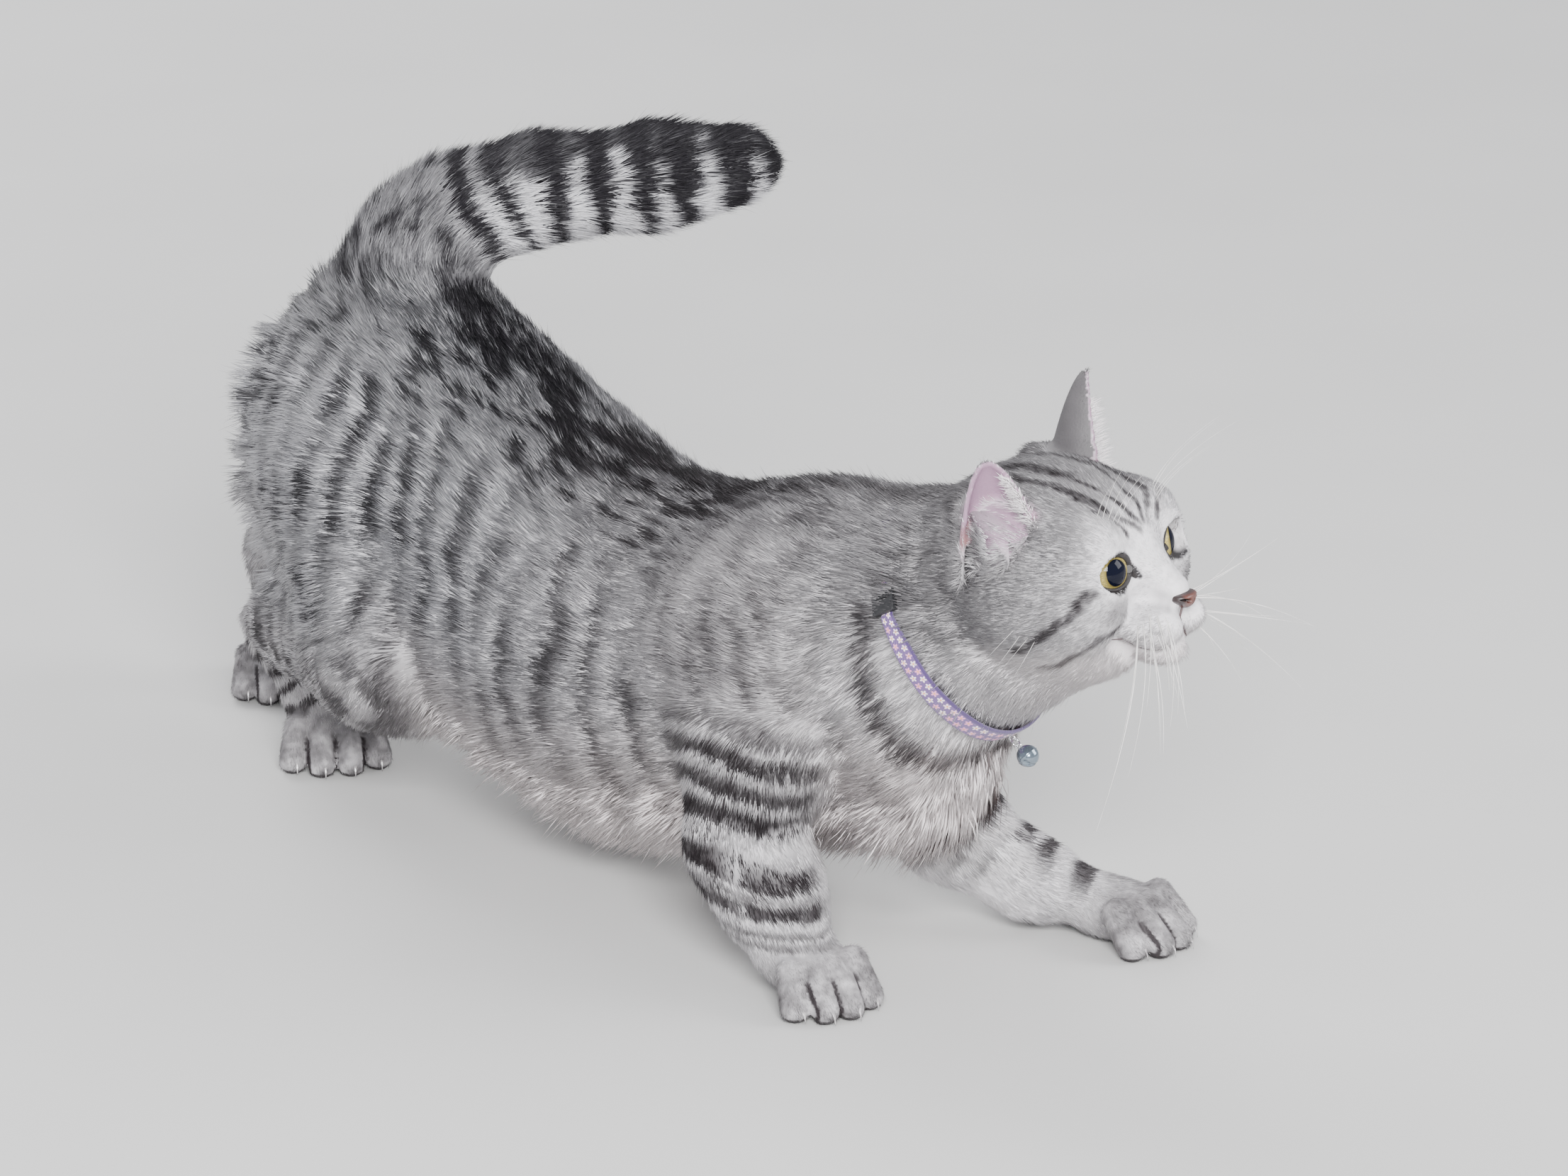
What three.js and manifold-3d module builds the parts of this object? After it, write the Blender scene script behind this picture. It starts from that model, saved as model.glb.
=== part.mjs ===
// A stout short-haired cat in a play bow, life size, as a still model: hips and tail high, chest low,
// forepaws spread, head turned to its left. Millimetres, +Z up; it faces -Y and its left side is +X.
// The solids reach out to the tips of the coat.
import * as THREE from "three";
import { mergeVertices } from "three/addons/utils/BufferGeometryUtils.js";
import Module from "manifold-3d";

const wasm = await Module();
wasm.setup();

// ---------------------------------------------------------------- driving dimensions
const GAP = 0.3; // clearance between two pieces that touch
const WELD = 0.01; // two points nearer than this count as one
// Edges of the facets along X, Y and Z.
const CELL = {
  trunk: [25, 38, 26],
  neck: [22, 22, 22],
  head: [10.2, 10.2, 9.4],
  leg: [18, 18, 15],
  paw: [9, 9, 7.6],
  tail: [18, 18, 18],
};

// Degrees: to its left, up, and left ear down.
const HEAD = { at: [27, -254, 206], yaw: 16, pitch: 7, roll: -2 };
const EYE = { radius: 11, forward: 30.5, side: 23, up: 7, turnedOut: 24, turnedUp: 4 };
const NOSE = { at: [57.5, 0, -10], radii: [6, 7.5, 5] };
const EARS = {
  ear_right: {
    base: [-12, -36, 18],
    tip: [-8, -50, 62],
    opening: [0.57, -0.79, -0.23],
    depth: 0.75,
    root: [-0.08, -0.73, 0.68],
  },
  ear_left: {
    base: [-10, 36, 24],
    tip: [-5, 47, 79],
    opening: [0.82, 0.5, 0.1],
    depth: 1.05,
    root: [-0.07, 0.67, 0.74],
  },
};
const EAR = { radius: 21, wall: 3.6, wrap: 112, taper: 0.58, cutAt: 64.5 }; // wrap: degrees from its back
const COLLAR = { at: [10.5, -200, 173.3], axis: [0.19, -0.85, 0.53], width: 10, thick: 2.4, sunk: 2.6 };
const CLIP = { angle: 60, length: 17, width: 12.5, thick: 4.6 };
const BELL = { radius: 5.3, slot: 1.4, slotDepth: 3, hangs: [0.14, -0.78, -0.61] };
const RING = { radius: 2.2, wire: 0.55, eye: 1.3, play: 0.12 };
const CLAW = { length: 6.5, radius: 1.4, start: 4.5, height: 10, droop: 35 };

const vec = (p) => new THREE.Vector3(...p);
const radians = THREE.MathUtils.degToRad;
const mirrored = (p, side) => [p[0], p[1] * side, p[2]];

// ---------------------------------------------------------------- the head's own frame
// Head coordinates are [forward, left, up] from the middle of the skull.
const headMatrix = new THREE.Matrix4()
  .makeTranslation(...HEAD.at)
  .multiply(new THREE.Matrix4().makeRotationZ(radians(HEAD.yaw)))
  .multiply(new THREE.Matrix4().makeRotationX(radians(-HEAD.pitch)))
  .multiply(new THREE.Matrix4().makeRotationY(radians(-HEAD.roll)))
  .multiply(new THREE.Matrix4().makeBasis(vec([0, -1, 0]), vec([1, 0, 0]), vec([0, 0, 1])));
const onHead = (p) => vec(p).applyMatrix4(headMatrix).toArray();
const headDirection = (p) => vec(p).transformDirection(headMatrix);

// ---------------------------------------------------------------- volumes of flesh and coat
// Each volume is a distance function. blend says how softly it runs into the ones before it.
function ellipsoid(center, radii, blend, turn = new THREE.Matrix4()) {
  const e = new THREE.Matrix4().extractRotation(turn).invert().elements;
  const [cx, cy, cz] = center;
  const [rx, ry, rz] = radii;
  const distance = (x, y, z) => {
    const dx = x - cx;
    const dy = y - cy;
    const dz = z - cz;
    const u = (e[0] * dx + e[4] * dy + e[8] * dz) / rx;
    const v = (e[1] * dx + e[5] * dy + e[9] * dz) / ry;
    const w = (e[2] * dx + e[6] * dy + e[10] * dz) / rz;
    const k = Math.hypot(u, v, w);
    const slope = Math.hypot(u / rx, v / ry, w / rz);
    return slope < 1e-9 ? -Math.min(rx, ry, rz) : (k * (k - 1)) / slope;
  };
  return { distance, blend };
}

// A tapered limb with round ends, from a of radius ra to b of radius rb.
function taper(a, b, ra, rb, blend) {
  const axis = vec(b).sub(vec(a));
  const length2 = axis.lengthSq();
  const distance = (x, y, z) => {
    const dx = x - a[0];
    const dy = y - a[1];
    const dz = z - a[2];
    const t = Math.min(1, Math.max(0, (dx * axis.x + dy * axis.y + dz * axis.z) / length2));
    return Math.hypot(dx - axis.x * t, dy - axis.y * t, dz - axis.z * t) - (ra + (rb - ra) * t);
  };
  return { distance, blend };
}

// A chain of tapers through points, with a radius at each.
function chain(points, radii, blend) {
  return points.slice(1).map((p, i) => taper(points[i], p, radii[i], radii[i + 1], blend));
}

// The trunk: upright oval sections from breast to rump, with round ends of the given lengths.
const TRUNK = {
  // y, then x and z of the middle, half width, half height
  sections: [
    [-176, 14, 118, 48, 66],
    [-140, 7, 128, 59, 86],
    [-98, 2, 121, 68, 94],
    [-57, 0, 112, 73, 96],
    [-26, -2, 109, 76, 98],
    [5, -3, 113, 77, 101],
    [47, -4, 126, 74, 107],
    [85, -4, 144, 70, 106],
    [120, -4, 170, 67, 92],
    [165, -4, 184, 65, 74],
  ],
  frontEnd: 46,
  backEnd: 62,
};

function trunkVolume({ sections, frontEnd, backEnd }) {
  const first = sections[0][0];
  const last = sections[sections.length - 1][0];
  // A smooth curve through the sections' values, as a Hermite span between two of them.
  const between = (n, t, column) => {
    const row = (i) => sections[Math.min(sections.length - 1, Math.max(0, i))];
    const slope = (i) => (row(i + 1)[column] - row(i - 1)[column]) / (row(i + 1)[0] - row(i - 1)[0]);
    const span = row(n + 1)[0] - row(n)[0];
    const a = row(n)[column];
    const b = row(n + 1)[column];
    const rise = t * t * (3 - 2 * t);
    const bend = span * (t * (1 - t) * (1 - t) * slope(n) - t * t * (1 - t) * slope(n + 1));
    return a + (b - a) * rise + bend;
  };
  const distance = (x, y, z) => {
    const inside = Math.min(last, Math.max(first, y));
    const n = Math.max(0, sections.findIndex((row) => row[0] >= inside) - 1);
    const t = (inside - sections[n][0]) / (sections[n + 1][0] - sections[n][0]);
    const [middle, height, wide, high] = [1, 2, 3, 4].map((column) => between(n, t, column));
    const beyond = (y - inside) / (y < inside ? frontEnd : backEnd);
    const k = Math.hypot((x - middle) / wide, (z - height) / high, beyond);
    return (k - 1) * Math.min(wide, high, 60);
  };
  return { distance, blend: 1 };
}

const shoulderAndThighVolumes = () => [
  ellipsoid([-38, -124, 142], [36, 50, 60], 24),
  ellipsoid([46, -124, 138], [36, 50, 60], 24),
  ellipsoid([-34, 160, 150], [36, 58, 72], 24),
  ellipsoid([30, 168, 150], [36, 58, 72], 24),
];

const neckVolumes = () => [
  taper([6, -146, 162], [20, -214, 187], 58, 50, 26),
  taper([12, -170, 140], [23, -226, 173], 48, 43, 20),
];

function headVolumes() {
  const blob = (p, radii, blend) => ellipsoid(onHead(p), radii, blend, headMatrix);
  const pair = (p, radii, blend) => [1, -1].map((side) => blob(mirrored(p, side), radii, blend));
  return [
    blob([-8, 0, 8], [50, 51, 43], 16), // skull
    ...pair([4, 30, -5], [36, 29, 31], 14), // cheeks
    blob([0, 0, -32], [38, 30, 23], 16), // throat and jaw
    ...pair([-22, 34, 36], [15, 12, 13], 12), // mounds behind the ears
    ...pair([24, 26, 20], [19, 18, 15], 12), // brows
    ...pair([26, 32, -2], [19, 15, 24], 10), // below and beside the eyes
    taper(onHead([24, 0, 14]), onHead([52, 0, -7]), 17, 9.5, 12), // bridge of the nose
    ...pair([46, 11, -22], [17, 13.5, 12], 7), // whisker pads
    blob([43, 0, -35], [13, 11, 8.5], 6), // chin
  ];
}

// Paws: a flat pad and four round toes, turned by heading degrees to the cat's left.
const PAWS = {
  front_right: { at: [-58, -183], heading: -22, splay: 1 },
  front_left: { at: [93, -236], heading: 3, splay: 1 },
  hind_right: { at: [-20, 189], heading: -38, splay: 1.15 },
  hind_left: { at: [23, 279], heading: -40, splay: 0.95 },
};
const TOES = [
  { across: -18, reach: 17 },
  { across: -6.3, reach: 24 },
  { across: 6.3, reach: 24 },
  { across: 18, reach: 17 },
];
const TOE = { radius: 7.4, knuckle: 19, tip: 6.2, blend: 3 };

const pawFrame = ({ at, heading }) =>
  new THREE.Matrix4().makeRotationZ(radians(heading)).setPosition(at[0], at[1], 0);

function pawVolumes(paw) {
  const frame = pawFrame(paw);
  const at = (p) => vec(p).applyMatrix4(frame).toArray();
  const toes = TOES.map(({ across, reach }) => {
    const knuckle = at([across * 0.82 * paw.splay, -reach * 0.3, TOE.knuckle]);
    const tip = at([across * paw.splay, -reach, TOE.tip]);
    return taper(knuckle, tip, TOE.radius + 0.6, TOE.radius, TOE.blend);
  });
  return [ellipsoid(at([0, 4, 13]), [19, 21, 15], 9, frame), ...toes];
}

// Legs: the joints from shoulder or hip down to the paw, and the radius of flesh and coat at each.
const LEGS = {
  front_right: {
    joints: [[-46, -134, 112], [-54, -132, 63], [-56, -150, 44], [-59, -166, 26]],
    radii: [38, 27, 25, 21],
  },
  front_left: {
    joints: [[46, -134, 104], [55, -158, 44], [70, -190, 25], [86, -218, 16]],
    radii: [36, 25, 20, 16],
  },
  hind_right: {
    joints: [[-36, 146, 170], [-46, 114, 88], [-36, 186, 78], [-22, 226, 62], [-20, 200, 24]],
    radii: [50, 43, 28, 17, 17],
  },
  hind_left: {
    joints: [[34, 160, 170], [40, 160, 104], [34, 232, 90], [26, 281, 74], [24, 281, 24]],
    radii: [50, 42, 28, 15, 14],
  },
};

const TAIL = {
  joints: [[2, 156, 234], [5, 150, 262], [15, 135, 284], [40, 106, 297], [82, 72, 302], [116, 48, 305]],
  radii: [40, 33, 28, 27, 26, 24],
};

const VOLUMES = [
  trunkVolume(TRUNK),
  ...shoulderAndThighVolumes(),
  ...neckVolumes(),
  ...headVolumes(),
  ...chain(TAIL.joints, TAIL.radii, 18),
  ...Object.entries(LEGS).flatMap(([name, { joints, radii }]) => [
    ...chain(joints, radii, 16),
    ...pawVolumes(PAWS[name]),
  ]),
];

// Each eyeball sits in a round hollow that opens between the lids.
const EYES = [1, -1].map((side) => {
  const out = radians(EYE.turnedOut);
  const look = [Math.cos(out), side * Math.sin(out), Math.sin(radians(EYE.turnedUp))];
  const center = onHead([EYE.forward, EYE.side * side, EYE.up]);
  return { name: side > 0 ? "eye_left" : "eye_right", center, look: headDirection(look) };
});
const LID = { ahead: 12.4, radius: 13.6 };

// Signed distance to the whole cat: every volume run softly into the ones before it.
function body(x, y, z) {
  let d = 1e9;
  for (const { distance, blend } of VOLUMES) {
    const next = distance(x, y, z);
    const h = Math.max(blend - Math.abs(d - next), 0) / blend;
    d = Math.min(d, next) - (h * h * blend) / 4;
  }
  return d;
}

// ---------------------------------------------------------------- surface of a distance function
// Surface nets: one vertex in each cell that the surface crosses, one quad across each edge it cuts.
function surface(field, box, edges) {
  const cell = vec(edges);
  const low = box.min.clone().sub(cell);
  const [nx, ny, nz] = box.max.clone().sub(low).divide(cell).ceil().addScalar(2).toArray();
  const index = (i, j, k) => i + nx * (j + ny * k);
  const place = (i, j, k) => new THREE.Vector3(i, j, k).multiply(cell).add(low);
  const values = new Float64Array(nx * ny * nz);
  for (let k = 0; k < nz; k++)
    for (let j = 0; j < ny; j++)
      for (let i = 0; i < nx; i++) {
        const p = place(i, j, k);
        const below = box.min.clone().sub(p);
        const above = p.clone().sub(box.max);
        const outside = Math.max(below.x, below.y, below.z, above.x, above.y, above.z);
        values[index(i, j, k)] = outside > 0 ? outside : Math.max(field(p.x, p.y, p.z), outside);
      }

  const corners = [];
  for (let n = 0; n < 8; n++) {
    corners.push([n & 1, (n >> 1) & 1, (n >> 2) & 1]);
  }
  const sides = [];
  for (let a = 0; a < 8; a++) {
    for (const bit of [1, 2, 4]) {
      if (!(a & bit)) sides.push([a, a | bit]);
    }
  }
  const vertexOf = new Int32Array(nx * ny * nz).fill(-1);
  const vertices = [];
  for (let k = 0; k < nz - 1; k++)
    for (let j = 0; j < ny - 1; j++)
      for (let i = 0; i < nx - 1; i++) {
        const v = corners.map(([a, b, c]) => values[index(i + a, j + b, k + c)]);
        const crossings = sides.filter(([a, b]) => v[a] < 0 !== v[b] < 0);
        if (!crossings.length) continue;
        const middle = new THREE.Vector3();
        for (const [a, b] of crossings) {
          middle.add(vec(corners[a]).lerp(vec(corners[b]), v[a] / (v[a] - v[b])));
        }
        middle.divideScalar(crossings.length);
        vertexOf[index(i, j, k)] = vertices.length;
        vertices.push(place(i + middle.x, j + middle.y, k + middle.z));
      }
  const margin = Math.max(...edges) * 0.6;
  const interior = box.clone().expandByScalar(-margin);
  for (const p of vertices) {
    if (interior.containsPoint(p)) settle(field, p, 0.45 * Math.min(...edges));
  }

  const faces = [];
  const steps = [index(1, 0, 0), index(0, 1, 0), index(0, 0, 1)];
  for (let k = 1; k < nz - 1; k++)
    for (let j = 1; j < ny - 1; j++)
      for (let i = 1; i < nx - 1; i++) {
        const at = index(i, j, k);
        for (let axis = 0; axis < 3; axis++) {
          const inside = values[at] < 0;
          if (inside === values[at + steps[axis]] < 0) continue;
          const u = steps[(axis + 1) % 3];
          const w = steps[(axis + 2) % 3];
          const quad = [at, at - u, at - u - w, at - w].map((n) => vertexOf[n]);
          if (!inside) quad.reverse();
          faces.push(quad[0], quad[1], quad[2], quad[0], quad[2], quad[3]);
        }
      }
  const geometry = new THREE.BufferGeometry().setFromPoints(vertices);
  geometry.setIndex(faces);
  return geometry;
}

// Moves a vertex along the slope of the field until it lies on the true surface, no further than reach.
function settle(field, point, reach) {
  const step = 0.5;
  const start = point.clone();
  const p = point.clone();
  for (let pass = 0; pass < 3; pass++) {
    const value = field(p.x, p.y, p.z);
    const slope = new THREE.Vector3(
      field(p.x + step, p.y, p.z) - value,
      field(p.x, p.y + step, p.z) - value,
      field(p.x, p.y, p.z + step) - value,
    ).divideScalar(step);
    const steepness = Math.max(0.3, slope.length());
    p.addScaledVector(slope, -value / steepness ** 2);
    if (p.distanceTo(start) > reach) return;
  }
  point.copy(p);
}

// ---------------------------------------------------------------- solids
function toSolid(geometry) {
  const bare = geometry.clone();
  bare.deleteAttribute("normal");
  bare.deleteAttribute("uv");
  const merged = mergeVertices(bare, 1e-4);
  const vertProperties = new Float32Array(merged.attributes.position.array);
  const triVerts = new Uint32Array(merged.index.array);
  return new wasm.Manifold(new wasm.Mesh({ numProp: 3, vertProperties, triVerts }));
}

// Where two folds of the surface meet in one point, each fold's vertex is drawn in a little, so that
// the body stays closed.
function toGeometry(solid) {
  const mesh = solid.getMesh();
  const geometry = new THREE.BufferGeometry();
  geometry.setAttribute("position", new THREE.BufferAttribute(new Float32Array(mesh.vertProperties), 3));
  geometry.setIndex(new THREE.BufferAttribute(new Uint32Array(mesh.triVerts), 1));
  geometry.computeVertexNormals();
  const { position, normal } = geometry.attributes;
  const at = (n) => new THREE.Vector3().fromBufferAttribute(position, n);
  const meetings = new Map();
  for (let n = 0; n < position.count; n++) {
    const key = at(n).multiplyScalar(1 / WELD).round().toArray().join();
    meetings.set(key, [...(meetings.get(key) ?? []), n]);
  }
  for (const numbers of meetings.values())
    if (numbers.length > 1)
      for (const n of numbers) {
        const inward = new THREE.Vector3().fromBufferAttribute(normal, n).multiplyScalar(-2 * WELD);
        position.setXYZ(n, ...at(n).add(inward).toArray());
      }
  geometry.deleteAttribute("normal");
  return geometry;
}

// The largest single body of a solid, without the crumbs that a cut can leave.
function largest(solid) {
  return solid.decompose().reduce((a, b) => (b.volume() > a.volume() ? b : a));
}

// A box that starts at a cut and runs along a direction; grow pushes its faces outwards.
function cutter({ at, along, length, width, height }, grow = 0) {
  const forward = vec(along).normalize();
  const upright = Math.abs(forward.z) > 0.95 ? vec([0, 1, 0]) : vec([0, 0, 1]);
  const side = new THREE.Vector3().crossVectors(upright, forward).normalize();
  const up = new THREE.Vector3().crossVectors(forward, side);
  const geometry = new THREE.BoxGeometry(width + 2 * grow, height + 2 * grow, length + 2 * grow);
  geometry.translate(0, 0, length / 2);
  geometry.applyMatrix4(new THREE.Matrix4().makeBasis(side, up, forward));
  return geometry.translate(...at);
}

// ---------------------------------------------------------------- where the body is parted
// Every region is a box; each takes what the ones above it in this list have left.
const region = (name, at, along, [length, width, height], cell) => ({
  name,
  at,
  along,
  length,
  width,
  height,
  cell,
});
const REGIONS = [
  region("front_paw_right", [-57, -164, 33], [0, -0.5, -0.87], [70, 76, 84], "paw"),
  region("front_paw_left", [83, -209, 22], [0.35, -0.9, -0.25], [80, 76, 80], "paw"),
  region("hind_foot_right", [-22, 212, 46], [0, -0.45, -0.89], [80, 76, 100], "paw"),
  region("hind_foot_left", [24, 272, 50], [0, 0, -1], [70, 70, 80], "paw"),
  region("front_leg_right", [-50, -140, 86], [-0.5, -0.1, -0.86], [130, 84, 84], "leg"),
  region("front_leg_left", [50, -156, 72], [0.62, -0.35, -0.7], [130, 84, 76], "leg"),
  region("hind_leg_right", [-55, 167, 118], [0, 0, -1], [118, 110, 190], "leg"),
  region("hind_leg_left", [50.3, 192, 118], [0, 0, -1], [118, 100, 240], "leg"),
  region("tail_tip", [78, 75, 302], [0.83, -0.55, 0.08], [90, 90, 90], "tail"),
  region("tail_middle", [32, 115, 294], [0.75, -0.62, 0.2], [90, 90, 90], "tail"),
  region("tail_base", [4, 150, 249], [0, 0.22, 0.975], [120, 130, 150], "tail"),
  ...Object.entries(EARS).map(([name, { root }]) => {
    const start = vec(root).normalize().multiplyScalar(EAR.cutAt).toArray();
    return region(name, onHead(start), headDirection(root).toArray(), [60, 90, 90], "head");
  }),
  region("head", [19.5, -219, 187], [0.19, -0.85, 0.5], [170, 200, 220], "head"),
  region("neck", [8, -176, 160], [0.19, -0.85, 0.5], [80, 200, 170], "neck"),
  region("chest", [0, -72, 120], [0, -1, 0], [220, 260, 260], "trunk"),
  region("belly", [0, 72, 120], [0, -1, 0], [220, 260, 280], "trunk"),
  region("rump", [0, 72, 160], [0, 1, 0], [220, 260, 300], "trunk"),
];

function partBody(additions, hollowsOut) {
  const pieces = {};
  // The soles are flat on the floor.
  const taken = [toSolid(new THREE.BoxGeometry(900, 900, 100).translate(0, 0, -50))];
  for (const region of REGIONS) {
    const box = new THREE.Box3().setFromBufferAttribute(cutter(region).attributes.position);
    const cell = CELL[region.cell];
    box.expandByScalar(1.3 * Math.max(...cell));
    box.min.z = Math.max(box.min.z, -20);
    let piece = toSolid(surface(body, box, cell));
    for (const solid of additions[region.name] ?? []) piece = piece.add(solid);
    for (const solid of hollowsOut[region.name] ?? []) piece = piece.subtract(solid);
    piece = piece.intersect(toSolid(cutter(region)));
    for (const earlier of taken) piece = piece.subtract(earlier);
    pieces[region.name] = largest(piece);
    taken.push(toSolid(cutter(region, GAP)));
  }
  return pieces;
}

// ---------------------------------------------------------------- ears
// An ear is half a cone of gristle: each cross-section is an arc that wraps round the ear's back and
// leaves its front open. It narrows to a round tip.
function earAxes({ base, tip, opening }) {
  const start = vec(onHead(base));
  const rise = vec(onHead(tip)).sub(start);
  const up = rise.clone().normalize();
  const front = headDirection(opening);
  front.addScaledVector(up, -front.dot(up)).normalize();
  return { start, rise, up, front, side: new THREE.Vector3().crossVectors(up, front) };
}

function earShell(ear) {
  const { start, rise, front, side } = earAxes(ear);
  const rows = 5;
  const columns = 6;
  const pointAt = (row, column, inner) => {
    const t = row / rows;
    const angle = radians(EAR.wrap * (1 - 0.25 * t)) * ((2 * column) / columns - 1);
    const wall = inner ? Math.min(EAR.wall, 1.5 + EAR.wall * (1 - t)) : 0;
    const radius = Math.max(0.4, EAR.radius * Math.pow(1 - t, EAR.taper) + 2 - wall);
    return start
      .clone()
      .addScaledVector(rise, t * (inner ? 0.96 : 1) - 0.16 * (1 - t))
      .addScaledVector(front, EAR.radius * 0.3 * (1 - t) - ear.depth * radius * Math.cos(angle))
      .addScaledVector(side, radius * Math.sin(angle));
  };
  return closedSheet(rows, columns, pointAt);
}

// The hollow of the ear where it goes down into the head.
function conch(ear) {
  const { start, rise, up, front, side } = earAxes(ear);
  const geometry = ball(1, 1).scale(12, 14, 27);
  geometry.applyMatrix4(new THREE.Matrix4().makeBasis(front, side, up));
  const at = start.clone().addScaledVector(rise, 0.25).addScaledVector(front, 7);
  return geometry.translate(...at.toArray());
}

const ball = (radius, detail) => new THREE.IcosahedronGeometry(radius, detail);

// A closed solid between an outer and an inner grid of points, with a rim all round.
function closedSheet(rows, columns, pointAt) {
  const points = [];
  const layer = (rows + 1) * (columns + 1);
  const number = (row, column, inner) => (inner ? layer : 0) + row * (columns + 1) + column;
  for (const inner of [false, true])
    for (let row = 0; row <= rows; row++)
      for (let column = 0; column <= columns; column++) points.push(pointAt(row, column, inner));
  const faces = [];
  const quad = (a, b, c, d) => faces.push(a, c, b, a, d, c);
  for (let row = 0; row < rows; row++)
    for (let column = 0; column < columns; column++) {
      const around = [[row, column], [row, column + 1], [row + 1, column + 1], [row + 1, column]];
      quad(...around.map(([r, c]) => number(r, c, false)));
      quad(...around.reverse().map(([r, c]) => number(r, c, true)));
    }
  const rim = [];
  for (let column = 0; column < columns; column++) rim.push([0, column]);
  for (let row = 0; row < rows; row++) rim.push([row, columns]);
  for (let column = columns; column > 0; column--) rim.push([rows, column]);
  for (let row = rows; row > 0; row--) rim.push([row, 0]);
  rim.forEach(([row, column], n) => {
    const [nextRow, nextColumn] = rim[(n + 1) % rim.length];
    quad(
      number(nextRow, nextColumn, false),
      number(row, column, false),
      number(row, column, true),
      number(nextRow, nextColumn, true),
    );
  });
  const geometry = new THREE.BufferGeometry().setFromPoints(points);
  geometry.setIndex(faces);
  return geometry;
}

// ---------------------------------------------------------------- collar
// Directions across the collar's ring: angle 0 is the top of the neck, 90 degrees its right side.
const ringAxis = vec(COLLAR.axis).normalize();
const ringRight = new THREE.Vector3().crossVectors(ringAxis, vec([0, 0, 1])).normalize();
const ringTop = new THREE.Vector3().crossVectors(ringRight, ringAxis);

function ringPoint(angle, radius, along = 0) {
  return vec(COLLAR.at)
    .addScaledVector(ringTop, Math.cos(angle) * radius)
    .addScaledVector(ringRight, Math.sin(angle) * radius)
    .addScaledVector(ringAxis, along);
}

// Radius from the ring's middle out to the coat, by halving.
function neckRadius(angle) {
  let low = 20;
  let high = 110;
  for (let n = 0; n < 20; n++) {
    const middle = (low + high) / 2;
    const p = ringPoint(angle, middle);
    if (body(p.x, p.y, p.z) < 0) low = middle;
    else high = middle;
  }
  return low;
}

// A band round the neck between two depths below the coat, of a given width.
function band(deep, shallow, width) {
  const count = 26;
  const points = [];
  const faces = [];
  for (let n = 0; n < count; n++) {
    const angle = (2 * Math.PI * n) / count;
    const radius = neckRadius(angle);
    for (const [depth, along] of [[deep, -1], [shallow, -1], [shallow, 1], [deep, 1]])
      points.push(ringPoint(angle, radius - depth, (along * width) / 2));
    for (let k = 0; k < 4; k++) {
      const next = (n + 1) % count;
      const [a, b, c, d] = [4 * n + k, 4 * n + ((k + 1) % 4), 4 * next + ((k + 1) % 4), 4 * next + k];
      faces.push(a, c, b, a, d, c);
    }
  }
  const geometry = new THREE.BufferGeometry().setFromPoints(points);
  geometry.setIndex(faces);
  return geometry;
}

// The two-part clip that closes the collar, laid along the band.
function clip(grow = 0) {
  const angle = radians(CLIP.angle);
  const radius = neckRadius(angle) - COLLAR.sunk + 0.4;
  const outward = ringPoint(angle, 1).sub(vec(COLLAR.at));
  const round = new THREE.Vector3().crossVectors(ringAxis, outward);
  const size = [CLIP.length, CLIP.width, CLIP.thick].map((edge) => edge + 2 * grow);
  const geometry = new THREE.BoxGeometry(...size);
  geometry.applyMatrix4(new THREE.Matrix4().makeBasis(round, ringAxis, outward));
  return geometry.translate(...ringPoint(angle, radius).toArray());
}

// ---------------------------------------------------------------- bell
// The bell hangs from a split ring that is linked through an eye on the collar and an eye on the bell.
const hang = vec(BELL.hangs).normalize();
const hangSide = new THREE.Vector3().crossVectors(hang, vec([0, 0, 1])).normalize();
const hangFront = new THREE.Vector3().crossVectors(hangSide, hang);
const underCollar = ringPoint(Math.PI, neckRadius(Math.PI) - COLLAR.sunk + COLLAR.thick);
const link = RING.eye + RING.radius - 2 * RING.wire - RING.play; // from the middle of one link to the next
const below = (distance) => underCollar.clone().addScaledVector(hang, distance);
const collarEye = below(0.4);
const ringMiddle = below(0.4 + link);
const bellEye = below(0.4 + 2 * link);
const bellMiddle = below(0.4 + 2 * link + RING.eye + BELL.radius - 0.5);

function wireRing(at, radius, flatAcross) {
  const geometry = new THREE.TorusGeometry(radius, RING.wire, 4, 8);
  const other = new THREE.Vector3().crossVectors(flatAcross, hang);
  geometry.applyMatrix4(new THREE.Matrix4().makeBasis(hang, other, flatAcross));
  return toSolid(geometry.translate(...at.toArray()));
}

// A round bell with a slot across its lower half.
function bellSolid() {
  const ballOf = toSolid(new THREE.SphereGeometry(BELL.radius, 12, 8));
  const slotBox = new THREE.BoxGeometry(BELL.slot, 3 * BELL.radius, 2 * BELL.slotDepth);
  const hollow = ballOf.subtract(toSolid(slotBox.translate(0, 0, -BELL.radius)));
  const turn = new THREE.Matrix4().makeBasis(hangFront, hangSide.clone().negate(), hang.clone().negate());
  const placed = toGeometry(hollow).applyMatrix4(turn.setPosition(bellMiddle));
  return toSolid(placed).add(wireRing(bellEye, RING.eye, hangFront));
}

// ---------------------------------------------------------------- eyes, lids, nose and claws
const eyeSolid = ({ center }, grow) => toSolid(ball(EYE.radius + grow, 1).translate(...center));

function lidOpening({ center, look }) {
  const at = vec(center).addScaledVector(look, LID.ahead);
  return toSolid(ball(LID.radius, 1).translate(...at.toArray()));
}

function noseSolid(grow) {
  const geometry = ball(1, 1).scale(...NOSE.radii.map((r) => r + grow));
  geometry.applyMatrix4(new THREE.Matrix4().extractRotation(headMatrix));
  return toSolid(geometry.translate(...onHead(NOSE.at)));
}

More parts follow.
